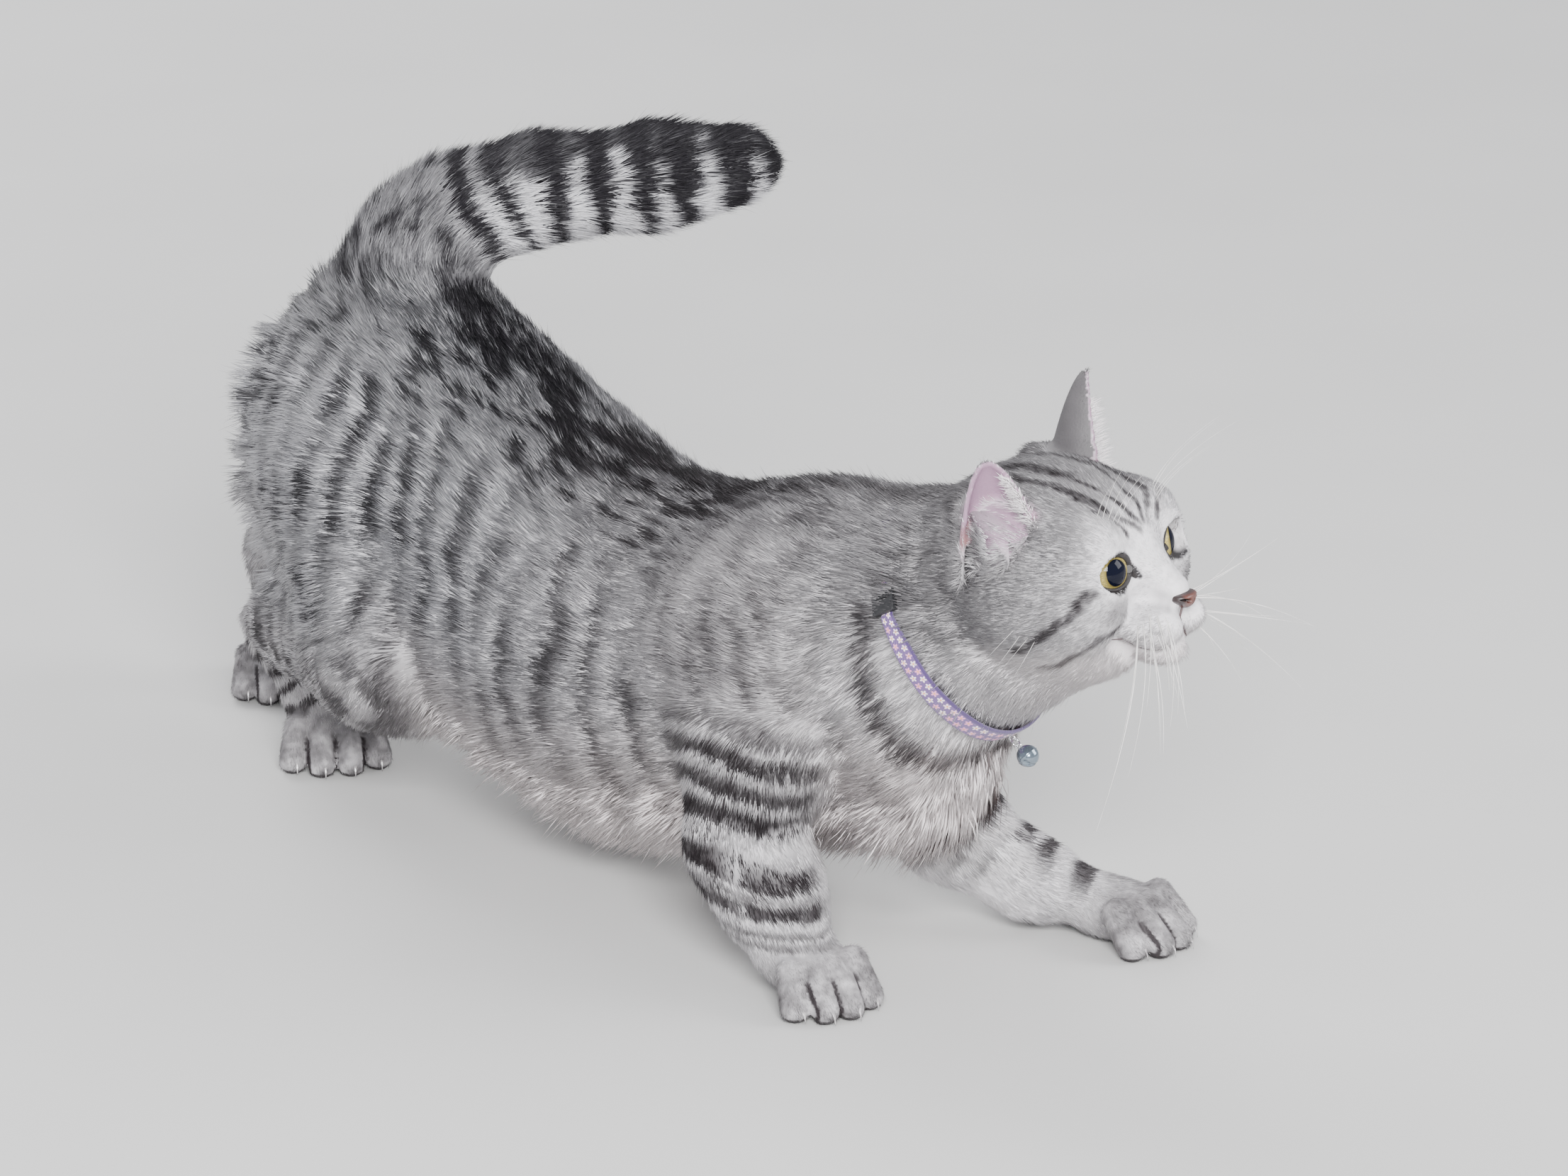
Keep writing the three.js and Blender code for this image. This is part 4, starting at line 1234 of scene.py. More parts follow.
def grow_coat(skin):
    rng = np.random.default_rng(11)
    mesh = skin.data
    mesh.calc_loop_triangles()
    corners = np.empty(len(mesh.loop_triangles) * 3, np.int32)
    mesh.loop_triangles.foreach_get("vertices", corners)
    corners = corners.reshape(-1, 3)
    p = to_body(points_of(mesh))
    normals = normals_of(mesh)
    share = shares(p)
    ears, inner = ear_cover(p, normals)
    ear_total = sum(ears.values())
    flow = coat_flow(p, share, normals, ears)
    length, width, proud, count = coat_plan(p, normals, share, ear_total, inner)
    at_root = scatter(rng, corners, p, count)
    root = at_root(p)
    normal = unit(at_root(normals))
    way = at_root(flow)
    length, width, proud, inner, ear_total = (
        at_root(values) for values in (length, width, proud, inner, ear_total)
    )
    depth = at_root(coat_depth(p, share))
    share = {part: at_root(values) for part, values in share.items()}
    total = len(root)
    under, face_like, shape = ruffled(rng, share, root, way, normal, length, width, proud)
    _, way, _, length, *_ = shape

    # A tuft takes the markings that lie over the middle of its length, near the tips of the coat.
    shown = root + way * (0.45 * length)[:, None] + normal * (0.8 * depth)[:, None]
    marks = coat_marks(shown, share)
    marks = np.clip(marks + 0.07 * rng.normal(0, 1, total) * (0.4 + marks), 0, 1.3)
    marks = marks * (1 - ear_total) + (0.68 + 0.10 * noise(root, 4, 36)) * ear_total
    marks = np.where(inner > 0.4, 0.02, marks)
    warmth = coat_warmth(root, share)
    tone = rng.normal(0.5, 0.19, total) + 0.12 * noise(root, 5, 37)
    tone = np.clip(tone + 0.05 * face_like, 0, 1)

    kind = kind_of_tuft(share, under)
    for n, (label, part, rings) in enumerate(COAT_PIECES):
        members = np.flatnonzero(kind == n)
        members = members[np.argsort(root[members, 1], kind="stable")]
        triangles_each = 6 * rings - 2
        batches = max(1, math.ceil(len(members) / (PIECE_TRIANGLES // triangles_each)))
        for k, chosen in enumerate(np.array_split(members, batches)):
            name = f"coat_{label}_{k + 1}" if batches > 1 else f"coat_{label}"
            chosen_shape = [values[chosen] for values in shape]
            lay_tufts(name, part, rings, chosen_shape, marks[chosen], warmth[chosen], tone[chosen])


def grow_ear_fringes():
    """Long pale hairs from the front edge of each ear, lying over its hollow."""
    rng = np.random.default_rng(17)
    count = FRINGE_HAIRS
    for name, ear in EARS.items():
        _, _, up, front, side = ear_axes(ear)
        edges = [ear_point(ear, np.array([0.3]), np.array([edge]))[0] for edge in (-1.0, 1.0)]
        inward = 1.0 if from_head(edges[1])[0] > from_head(edges[0])[0] else -1.0
        t = rng.uniform(0.0, 0.8, count)
        around = inward * rng.uniform(0.5, 1.0, count)
        root = ear_point(ear, t, around)
        other = unit(ear_point(ear, t, -around) - root)
        out = 1.0 if name == "ear_left" else 0.45
        way = other * rng.uniform(0.15, 0.6, count)[:, None] + up * 0.55 + front * out
        way = unit(way + rng.normal(0, 0.13, (count, 3)))
        normal = unit(np.cross(way, side))
        length = rng.uniform(8, 15, count) * (1 - 0.55 * t)
        width = rng.uniform(0.4, 0.75, count)
        flat = np.zeros(count)
        shape = (root, way, normal, length, width, flat, flat, rng.normal(0, 0.1, count))
        tone = rng.uniform(0.5, 0.9, count)
        lay_tufts("coat_" + name + "_fringe", "head", 2, shape, flat, flat + 0.5, tone)


def tear_marks(p):
    """The black skin about the lids, drawn out to a drop at the inner corner."""
    dark = np.zeros(len(p))
    for side in (1, -1):
        center, look, inner, up = eye_frame(side)
        x, y, ahead = (p - center) @ inner, (p - center) @ up, (p - center) @ look
        drop = np.zeros(len(p))
        for reach, low, radius in TEAR_DROPS:
            drop = np.maximum(drop, step(radius + 0.5, radius - 0.4, np.hypot(x - reach, y - low)))
        rim = step(1.22, 1.10, np.hypot(x / LID_OPENING[0], y / LID_OPENING[1]))
        dark = np.maximum(dark, np.maximum(drop, rim) * (ahead > 0))
    return dark


def paint_skin(skin):
    p = to_body(points_of(skin.data))
    share = shares(p)
    normals = normals_of(skin.data)
    ears, inner = ear_cover(p, normals)
    ear_total = sum(ears.values())
    tips = p + normals * (0.8 * coat_depth(p, share))[:, None]
    marks = coat_marks(tips, share) * (1 - ear_total) + 0.68 * ear_total
    marks = np.where(inner > 0.3, 0.0, marks)
    tone = 0.5 + 0.15 * noise(p, 6, 38)
    paint(skin.data, "coat", np.stack([marks, coat_warmth(p, share), tone], axis=1))
    soles = np.maximum(step(1.6, 0.8, p[:, 2]), tear_marks(p))
    # Painted shade deep in the ears' hollows, strongest towards their roots.
    painted_fold_shade = np.zeros(len(p))
    for name, ear in EARS.items():
        start, _, up, _, _ = ear_axes(ear)
        painted_fold_shade += inner * ears[name] * step(24, 9, (p - start) @ up + 5 * noise(p, 6, 45))
    paint(skin.data, "bare", np.stack([inner, soles, painted_fold_shade], axis=1))


# ---------------------------------------------------------------- finishes
def shader_tree(name):
    """A new material, its node tree, and the sockets of its shader."""
    made = bpy.data.materials.new(name)
    made.use_nodes = True
    return made, made.node_tree, made.node_tree.nodes["Principled BSDF"].inputs


def fill(tree, sockets, values):
    """Gives each socket the output or the plain value that stands against its name."""
    for socket, value in values.items():
        if hasattr(value, "links"):
            tree.links.new(value, sockets[socket])
        else:
            sockets[socket].default_value = value


def node(tree, kind, values, **settings):
    """The outputs of a new node."""
    made = tree.nodes.new("ShaderNode" + kind)
    for setting, value in settings.items():
        setattr(made, setting, value)
    fill(tree, made.inputs, values)
    return made.outputs


def mixed(tree, factor, a, b):
    """A colour mix of a and b, each a colour or an output."""
    mix = tree.nodes.new("ShaderNodeMix")
    mix.data_type = "RGBA"
    sockets = {socket.name: socket for socket in mix.inputs if socket.enabled}
    colours = {name: v if hasattr(v, "links") else (*v, 1) for name, v in (("A", a), ("B", b))}
    fill(tree, sockets, {"Factor": factor, **colours})
    return next(output for output in mix.outputs if output.enabled)


def value_of(tree, operation, *values):
    """A sum worked out from outputs and numbers."""
    return node(tree, "Math", dict(enumerate(values)), operation=operation)[0]


def length_of(tree, x, y):
    """How far the place (x, y) is from the middle."""
    squares = [value_of(tree, "MULTIPLY", side, side) for side in (x, y)]
    return value_of(tree, "SQRT", value_of(tree, "ADD", *squares))


def soft_edge(tree, value, low, high):
    """0 at the one value, 1 at the other, and smooth between them."""
    ends = {"Value": value, "From Min": low, "From Max": high}
    return node(tree, "MapRange", ends, interpolation_type="SMOOTHSTEP")["Result"]


def painted(tree, layer):
    """The three numbers that a mesh keeps for each vertex under this name."""
    colour = node(tree, "Attribute", {}, attribute_name=layer)["Color"]
    return node(tree, "SeparateColor", {"Color": colour})


def textured(tree, kind, values):
    """The outputs of a texture that is fixed to the piece."""
    place = node(tree, "TexCoord", {})["Object"]
    return node(tree, kind, {"Vector": place, **values})


def relief(tree, height, strength, distance):
    """A bump from a height, its distance in metres."""
    return node(tree, "Bump", {"Height": height, "Strength": strength, "Distance": distance})["Normal"]


def coat_colour(tree):
    """Silver to charcoal by the coat's own markings, warmer where the coat is warm."""
    mark, warm, tone = painted(tree, "coat")
    light = mixed(tree, warm, (0.80, 0.79, 0.82), (0.90, 0.83, 0.83))
    dark = mixed(tree, warm, (0.018, 0.016, 0.020), (0.055, 0.038, 0.038))
    # Marks are spread evenly to the eye: half a mark is a middle grey.
    left = value_of(tree, "SUBTRACT", 1.0, value_of(tree, "MINIMUM", mark, 1.0))
    depth = value_of(tree, "SUBTRACT", 1.0, value_of(tree, "MULTIPLY", left, left))
    colour = mixed(tree, depth, light, dark)
    # Brightness follows the tone, which on the tufts holds painted shade towards their roots.
    brightness = node(tree, "MapRange", {"Value": tone, "To Min": 0.6, "To Max": 1.2})["Result"]
    return node(tree, "VectorMath", {0: colour, "Scale": brightness}, operation="SCALE")["Vector"]


def make_coat_finish():
    made, tree, shader = shader_tree("silver tabby coat")
    fill(tree, shader, {
        "Base Color": coat_colour(tree),
        "Roughness": 0.6,
        "Specular IOR Level": 0.15,
    })
    return made


def make_skin_finish():
    """The coat's colours, pink in the ears and darker there as painted shade deep in their hollows, and
    black where the skin is bare.
    """
    made, tree, shader = shader_tree("short coat and skin")
    inner, soles, painted_fold_shade = painted(tree, "bare")
    # Pink in the ears' hollows, going to dark red-brown painted shade towards their roots.
    hollow = mixed(tree, painted_fold_shade, (0.34, 0.21, 0.30), (0.22, 0.10, 0.10))
    colour = mixed(tree, inner, coat_colour(tree), hollow)
    grain = textured(tree, "TexNoise", {"Scale": 900, "Detail": 3})["Fac"]
    fill(tree, shader, {
        "Base Color": mixed(tree, soles, colour, (0.02, 0.018, 0.02)),
        "Normal": relief(tree, grain, 0.35, 0.0006),
        "Roughness": 0.6,
    })
    return made


coat_finish = make_coat_finish()
skin.data.materials.append(make_skin_finish())
paint_skin(skin)
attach(skin, "root")
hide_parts(*FLESH)
grow_coat(skin)
grow_ear_fringes()


# ---------------------------------------------------------------- eyes and lids
def tube(name, lines, sides):
    """Round tubes along lines of (place, radius) points in body coordinates, each open or closed."""
    curve = bpy.data.curves.new(name, "CURVE")
    curve.dimensions = "3D"
    curve.bevel_depth = MM
    curve.bevel_resolution = sides
    curve.use_fill_caps = True
    for line, closed in lines:
        spline = curve.splines.new("POLY")
        spline.points.add(len(line) - 1)
        spline.use_cyclic_u = closed
        for point, (place, radius) in zip(spline.points, line):
            point.co = (*to_frame(place), 1)
            point.radius = radius
    shaped = new_piece(name + "_line", curve)
    mesh = bpy.data.meshes.new_from_object(shaped.evaluated_get(bpy.context.evaluated_depsgraph_get()))
    bpy.data.objects.remove(shaped)
    mesh.name = name
    mesh.materials.clear()
    for polygon in mesh.polygons:
        polygon.use_smooth = True
    return new_piece(name, mesh)


def finish_piece(piece, finish, slot, *replaced):
    piece.data.materials.append(finish)
    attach(piece, "root")
    if replaced:
        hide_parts(*replaced)


def make_eye_finish():
    """A gold iris with fine fibres and a dark rim, round a wide pupil."""
    made, tree, shader = shader_tree("gold eye")
    own = node(tree, "Attribute", {}, attribute_name="eye")["Vector"]
    x, y, _ = node(tree, "SeparateXYZ", {"Vector": own})
    radius = length_of(tree, x, y)
    pupil = length_of(tree, value_of(tree, "DIVIDE", x, 0.50), value_of(tree, "DIVIDE", y, 0.55))
    turn = value_of(tree, "MULTIPLY", value_of(tree, "ARCTAN2", y, x), 9.0)
    ray = node(tree, "CombineXYZ", {"X": turn, "Y": value_of(tree, "MULTIPLY", radius, 4.0)})["Vector"]
    fibres = node(tree, "TexNoise", {"Vector": ray, "Scale": 2.2, "Detail": 5})["Fac"]
    colour = mixed(tree, soft_edge(tree, fibres, 0.35, 0.7), (0.30, 0.25, 0.075), (0.56, 0.45, 0.16))
    for reach, low, high, next_colour in (
        (pupil, 1.3, 1.0, (0.20, 0.16, 0.045)),
        (radius, 0.74, 0.86, (0.10, 0.075, 0.03)),
        (pupil, 1.03, 0.95, (0.003, 0.004, 0.011)),
        (radius, 0.86, 0.9, (0.012, 0.010, 0.010)),
    ):
        colour = mixed(tree, soft_edge(tree, reach, low, high), colour, next_colour)
    fill(tree, shader, {
        "Base Color": colour,
        "Roughness": 0.3,
        "Specular IOR Level": 0.0,
        "Coat Weight": 0.4,
        "Coat Roughness": 0.02,
    })
    return made


def put_along(piece, own, axes, middle):
    """Lays a piece's own points along three axes from a middle, with its faces still outwards."""
    axes = np.stack(axes)
    set_points(piece.data, to_frame(own @ axes + middle))
    if np.linalg.det(axes) < 0:
        piece.data.flip_normals()


def make_eye(side):
    """An eyeball with a clear bulge in front."""
    center, look, inner, up = eye_frame(side)
    bm = bmesh.new()
    bmesh.ops.create_uvsphere(bm, u_segments=72, v_segments=48, radius=1)
    piece = from_bmesh("eye_left_ball" if side > 0 else "eye_right_ball", bm)
    own = points_of(piece.data)
    bulge = 1 + 0.045 * step(0.62, 1.0, own[:, 2])
    put_along(piece, own * bulge[:, None] * (EYE_RADIUS - 0.1), (inner, up, look), center)
    paint(piece.data, "eye", own)
    return piece


def on_lid(side, turn, reach):
    """The place on eyeball or skin, whichever stands out further, at a turn and reach about the eye."""
    center, look, inner, up = eye_frame(side)
    way = inner * math.cos(turn) + up * math.sin(turn)
    start = center + way * reach + look * 30
    forward = math.sqrt(max(0, LID_REACH ** 2 - reach ** 2))
    hit = skin_shape.ray_cast(Vector(to_frame(start)), Vector(-look))
    if hit[0] is not None:
        on_skin = 30 - np.linalg.norm(to_body(np.array(hit[0])) - start)
        if reach > LID_REACH:
            forward = on_skin - 0.2
        else:
            forward = max(forward, min(on_skin - 0.2, forward + 2.5))
    return center + way * reach + look * forward


def lid_line(side):
    """The black edge of the lids: an oval on eye and skin, thicker towards the nose and above."""
    line = []
    for n in range(72):
        turn = 2 * math.pi * n / 72
        along, up = math.cos(turn), math.sin(turn)
        reach = 1 / math.hypot(along / LID_OPENING[0], up / LID_OPENING[1])
        line.append((on_lid(side, turn, reach), 1.15 + 0.6 * max(0, along) ** 2 + 0.35 * max(0, up)))
    return line


# The black skin at an eye's inner corner, running a little way towards the nose: reach, turn and radius.
TEAR_CORNER = (
    (8.4, -0.05, 1.9), (9.8, -0.14, 2.3), (11.2, -0.24, 2.1), (12.6, -0.32, 1.5), (14.0, -0.38, 0.8),
)


def plain_finish(name, colour, roughness, dark, size, metallic=0.0, strength=0.15, coat=0.0):
    """A fine change of colour and a fine bump, both from noise of a given size in metres."""
    made, tree, shader = shader_tree(name)
    grain = textured(tree, "TexNoise", {"Scale": 1 / size, "Detail": 4})["Fac"]
    fill(tree, shader, {
        "Base Color": mixed(tree, soft_edge(tree, grain, 0.35, 0.65), colour, dark),
        "Normal": relief(tree, grain, strength, size * 0.2),
        "Roughness": roughness,
        "Metallic": metallic,
        "Coat Weight": coat,
        "Coat Roughness": 0.08,
    })
    return made


skin_shape = tree_of(skin.data)
eye_finish = make_eye_finish()
finish_piece(make_eye(-1), eye_finish, "eye", "eye_right")
finish_piece(make_eye(1), eye_finish, "eye", "eye_left")
lid_black = plain_finish("wet black lid edge", (0.010, 0.008, 0.009), 0.5, (0.022, 0.018, 0.018), 0.0008)
lid_lines = []
for side in (1, -1):
    tear_corner = [(on_lid(side, turn, reach), radius) for reach, turn, radius in TEAR_CORNER]
    lid_lines += [(lid_line(side), True), (tear_corner, False)]
finish_piece(tube("lid_edges", lid_lines, 3), lid_black, "nose")


# ---------------------------------------------------------------- nose
def make_nose():
    """The leather of the nose: broad above, narrow below, with comma-shaped nostrils and a groove."""
    bm = bmesh.new()
    bmesh.ops.create_icosphere(bm, subdivisions=6, radius=1)
    piece = from_bmesh("nose_leather", bm)
    own = points_of(piece.data)
    ahead, left, up = own.T.copy()
    wide = 0.42 + 0.58 * step(-1.0, 0.05, up)
    side = np.abs(left)
    front = ahead > 0
    slit = np.minimum(
        np.hypot((side - 0.47) / 0.20, (up + 0.12) / 0.20),
        np.hypot((side - 0.66) / 0.26, (up + 0.02 - 0.25 * (side - 0.5)) / 0.12),
    )
    hole = step(1.25, 0.5, slit) * front
    groove = step(0.14, 0.02, side) * step(0.15, -0.3, up) * front
    wing = np.exp(-((side - 0.72) / 0.2) ** 2 - ((up + 0.02) / 0.3) ** 2) * front
    ahead = ahead * 0.92 - 0.42 * hole - 0.16 * groove + 0.07 * wing
    up = up - 0.28 * step(0.25, 0.9, up)
    ahead = ahead - 0.15 * step(0.2, 0.8, up)
    shaped = np.stack([ahead, left * wide, up], axis=1) * np.array(NOSE_RADII)
    set_points(piece.data, to_frame(on_head(shaped + np.array(NOSE_AT))))
    rim = step(0.62, 0.88, side) + step(0.30, 0.55, up) + step(-0.72, -0.9, up)
    # Painted shade: the nostrils near black and the groove darker.
    dark = np.clip(hole + 0.8 * groove, 0, 1)
    paint(piece.data, "nose", np.stack([dark, np.clip(rim, 0, 1), np.zeros(len(own))], axis=1))
    return piece


def make_nose_finish():
    """Brick leather with a fine pebble, darker at its rim, with painted shade that darkens its groove and
    turns its nostrils black.
    """
    made, tree, shader = shader_tree("brick nose leather")
    # The first number is painted shade in the nostrils and groove, the second the dark rim of the leather.
    dark, rim, _ = painted(tree, "nose")
    pebble = textured(tree, "TexVoronoi", {"Scale": 1700})["Distance"]
    brick = mixed(tree, pebble, (0.15, 0.05, 0.036), (0.085, 0.028, 0.022))
    edged = mixed(tree, rim, brick, (0.03, 0.02, 0.02))
    fill(tree, shader, {
        "Base Color": mixed(tree, dark, edged, (0.008, 0.006, 0.006)),
        "Normal": relief(tree, pebble, 0.25, 0.0002),
        "Roughness": 0.42,
        "Coat Weight": 0.25,
        "Coat Roughness": 0.25,
    })
    return made


finish_piece(make_nose(), make_nose_finish(), "nose", "nose")


def nearest_skin(place):
    """The point of the skin nearest to a place, and the way that the skin faces there."""
    hit, out, _, _ = skin_shape.find_nearest(Vector(to_frame(place)))
    return to_body(np.array(hit)), np.array(out)


def make_mouth():
    """A dark thread along the groove under the nose and between the lips."""
    lines = []
    for line in MOUTH_LINES:
        knots = on_head(np.array(line))
        s = np.linspace(0, len(knots) - 1, 8 * (len(knots) - 1) + 1)
        path = between(s, np.arange(len(knots)), knots)
        for n in range(1, len(path) - 1):
            path[n] = (path[n - 1] + path[n] + path[n + 1]) / 3
        points = []
        for place, t in zip(path, s / s[-1]):
            on_skin, out = nearest_skin(place)
            points.append((on_skin + 0.1 * out, 0.55 - 0.3 * t * (len(knots) > 3)))
        lines.append((points, False))
    return tube("mouth_line", lines, 2)


mouth_dark = plain_finish("dark lip", (0.05, 0.03, 0.032), 0.5, (0.09, 0.055, 0.055), 0.001)
finish_piece(make_mouth(), mouth_dark, "nose")


# ---------------------------------------------------------------- whiskers and claws
FURTHEST_AHEAD = -334.0
CLAW_LENGTH = 7.5


def hair(root, way, bend, length, thick):
    """A tapering hair of the head: it leaves the skin along way and is drawn towards bend."""
    root, _ = nearest_skin(on_head(root))
    way = unit(way @ HEAD_TURN.T)
    bend = bend @ HEAD_TURN.T
    # Hairs that would reach too far ahead of the paws are shorter.
    ahead = way[1] + bend[1]
    if root[1] + length * ahead < FURTHEST_AHEAD:
        length = (FURTHEST_AHEAD - root[1]) / ahead
    s = np.linspace(0, 1, 14)
    path = root + length * (np.outer(s, way) + np.outer(s ** 2, bend))
    return [(place, thick * (1 - 0.86 * t)) for place, t in zip(path, s)], False


# Whiskers stand in four rows, the upper ones first; the right side's hang lower and lean further ahead.
WHISKER_DROP = {1: (0.25, -0.05, -0.4, -0.75), -1: (-0.75, -1.0, -1.2, -1.4)}
WHISKER_SKIPPED = 0.22


def make_whiskers():
    """Whiskers, hairs over the eyes and hairs on the cheeks, with their own draws for each side."""
    rng = np.random.default_rng(5)
    lines = []
    for side in (1, -1):
        left = side > 0
        for row in range(4):
            long_row = row in (1, 2)
            for column in range(5 if long_row else 3):
                if rng.random() < WHISKER_SKIPPED:
                    continue
                root = (53.5 - 2.1 * column, side * (13.5 + 1.8 * column), -15.0 - 3.2 * row)
                forward = 0.62 - 0.14 * column if left else 0.85 - 0.16 * column
                out = 0.72 + 0.09 * column if left else (0.72 + 0.09 * column) * 0.7
                way = np.array((forward, side * out, WHISKER_DROP[side][row])) + rng.normal(0, 0.12, 3)
                length = rng.uniform(52, 74) if long_row else rng.uniform(36, 56)
                back = rng.uniform(-0.3, -0.02)
                bend = np.array((back, side * 0.05, rng.uniform(-0.3, 0.12 if left else -0.05)))
                lines.append(hair(root, way, bend, length, rng.uniform(0.24, 0.38)))
        for k in range(5):
            root = (31 + 1.6 * k, side * (27 - 1.9 * k), 30 - 0.6 * k)
            way = np.array((0.55, side * (0.35 - 0.1 * k), 0.95)) + rng.normal(0, 0.1, 3)
            bend = np.array((0.25, side * 0.35, -0.12))
            lines.append(hair(root, way, bend, rng.uniform(28, 46), 0.15))
        for k in range(4):
            root = (2 + 3 * k, side * 55, -12 - 2 * k)
            way = np.array((-0.2, side * 1.0, -0.5)) + rng.normal(0, 0.15, 3)
            lines.append(hair(root, way, np.array((-0.2, 0, -0.2)), rng.uniform(14, 22), 0.11))
    return tube("whiskers", lines, 1)


def make_claws():
    """A claw to each toe: a cone that curves down towards its point, and is flatter than it is tall."""
    bm = bmesh.new()
    for name, paw in PAWS.items():
        for across, reach in TOES:
            made = bmesh.ops.create_cone(
                bm, cap_ends=True, segments=10, radius1=1.35, radius2=0.12, depth=CLAW_LENGTH,
            )
            edges = {e for v in made["verts"] for e in v.link_edges}
            lengthwise = [e for e in edges if abs(e.verts[0].co.z - e.verts[1].co.z) > 5]
            bmesh.ops.subdivide_edges(bm, edges=lengthwise, cuts=4)
            for vertex in bm.verts:
                if vertex.tag:
                    continue
                x, y, z = vertex.co
                along = z + CLAW_LENGTH / 2
                drop = math.radians(30) + along * math.radians(6)
                forwards = along * math.cos(drop * 0.8)
                height = 8.2 - along * math.sin(drop * 0.8) + y
                sideways = across * paw["splay"] + x * 0.75 + 1.5
                backwards = y * 0.5 - reach - 4.6 - forwards
                vertex.co = to_frame(in_paw(name, (sideways, backwards, max(height, 0.25))))
                vertex.tag = True
    bmesh.ops.recalc_face_normals(bm, faces=bm.faces)
    return from_bmesh("claws", bm)


whisker_white = plain_finish(
    "white whisker", (0.82, 0.80, 0.78), 0.35, (0.62, 0.60, 0.58), 0.01, strength=0.0,
)
finish_piece(make_whiskers(), whisker_white, "coat_head")
claw_horn = plain_finish("grey horn", (0.52, 0.50, 0.50), 0.25, (0.30, 0.28, 0.29), 0.0016, coat=0.5)
finish_piece(make_claws(), claw_horn, "coat_legs")


# ---------------------------------------------------------------- collar, clip and bell
def ring_point(angle, radius, along=0.0):
    angle = np.atleast_1d(angle)
    radius = np.broadcast_to(radius, angle.shape)
    out = np.outer(np.cos(angle) * radius, ring_top) + np.outer(np.sin(angle) * radius, ring_right)
    return COLLAR_AT + out + np.outer(np.broadcast_to(along, angle.shape), ring_axis)


def neck_radius(angle):
    """From the collar's middle out to the tips of the coat, by halving."""
    angle = np.atleast_1d(angle)
    low = np.full(len(angle), 20.0)
    high = np.full(len(angle), 110.0)
    for _ in range(20):
        middle = (low + high) / 2
        inside = body(ring_point(angle, middle)) < 0
        low = np.where(inside, middle, low)
        high = np.where(inside, high, middle)
    return low


def make_collar():
    bm = bmesh.new()
    bm.loops.layers.uv.new("ribbon")
    bmesh.ops.create_grid(bm, x_segments=220, y_segments=8, size=1, calc_uvs=True)
    piece = from_bmesh("collar_ribbon", bm)
    grid = points_of(piece.data)
    angle = grid[:, 0] * math.pi
    across = grid[:, 1]
    # The ribbon bellies out a little between its bound edges, and sinks where the coat hides it.
    hidden = 1 - collar_shows(np.degrees(angle))
    belly = 0.35 * (1 - across ** 2) + 0.25 * np.sin(7 * angle)
    radius = neck_radius(angle) - RIBBON_THICK + belly - 3.8 * hidden
    # Near the clip the ribbon is drawn narrow.
    turned = np.abs(np.degrees(angle))
    wide = 0.62 + 0.38 * step(62, 100, turned) + 0.15 * step(105, 150, turned)
    set_points(piece.data, to_frame(ring_point(angle, radius, across * wide * COLLAR_WIDTH / 2)))
    bm = bmesh.new()
    bm.from_mesh(piece.data)
    bmesh.ops.remove_doubles(bm, verts=bm.verts, dist=0.00002)
    bmesh.ops.recalc_face_normals(bm, faces=bm.faces)
    middle = Vector(to_frame(COLLAR_AT))
    outwards = sum((f.calc_center_median() - middle).dot(f.normal) for f in bm.faces)
    if outwards < 0:
        bmesh.ops.reverse_faces(bm, faces=bm.faces)
    bpy.data.objects.remove(piece)
    piece = from_bmesh("collar_ribbon", bm)
    wall = piece.modifiers.new("Cloth", "SOLIDIFY")
    wall.thickness = RIBBON_THICK * MM
    wall.offset = -1
    wall.use_even_offset = True
    edge = piece.modifiers.new("Edge", "BEVEL")
    edge.width = 0.45 * MM
    edge.segments = 2
    edge.limit_method = "ANGLE"
    edge.angle_limit = math.radians(50)
    return baked(piece)


def make_ribbon_finish():
    """Lilac satin with two staggered rows of little five-petalled flowers, bound in purple by the head."""
    made, tree, shader = shader_tree("flowered lilac ribbon")
    own = node(tree, "UVMap", {}, uv_map="ribbon")["UV"]
    along, across, _ = node(tree, "SeparateXYZ", {"Vector": own})
    row = value_of(tree, "MULTIPLY_ADD", across, 2.3, -0.1)
    row_number = value_of(tree, "FLOOR", row)
    flowers = value_of(tree, "MULTIPLY", along, FLOWERS_ROUND)
    column = value_of(tree, "MULTIPLY_ADD", row_number, 0.5, flowers)
    x, y = (value_of(tree, "SUBTRACT", value_of(tree, "FRACT", n), 0.5) for n in (column, row))
    cell = node(tree, "CombineXYZ", {"X": value_of(tree, "FLOOR", column), "Y": row_number})["Vector"]
    luck = node(tree, "TexWhiteNoise", {"Vector": cell}, noise_dimensions="3D")["Value"]
    radius = length_of(tree, x, y)
    turn = value_of(tree, "ADD", value_of(tree, "ARCTAN2", y, x), value_of(tree, "MULTIPLY", luck, 6.28))
    lobes = value_of(tree, "ABSOLUTE", value_of(tree, "COSINE", value_of(tree, "MULTIPLY", turn, 2.5)))
    reach = value_of(tree, "MULTIPLY_ADD", lobes, 0.27, 0.14)
    inside = soft_edge(tree, value_of(tree, "SUBTRACT", reach, radius), -0.015, 0.03)
    weave = textured(tree, "TexWave", {"Scale": 1500, "Distortion": 0.6})["Fac"]
    lilac = mixed(tree, weave, (0.115, 0.055, 0.20), (0.21, 0.125, 0.34))
    petal = mixed(tree, soft_edge(tree, luck, 0.3, 0.7), (0.98, 0.84, 0.90), (0.90, 0.36, 0.62))
    flower = mixed(tree, soft_edge(tree, radius, 0.13, 0.09), petal, (0.88, 0.38, 0.16))
    printed = mixed(tree, inside, lilac, flower)
    fill(tree, shader, {
        "Base Color": mixed(tree, soft_edge(tree, across, 0.86, 0.89), printed, (0.07, 0.035, 0.15)),
        "Normal": relief(tree, value_of(tree, "ADD", weave, inside), 0.4, 0.0002),
        "Roughness": 0.42,
        "Sheen Weight": 0.3,
    })
    return made


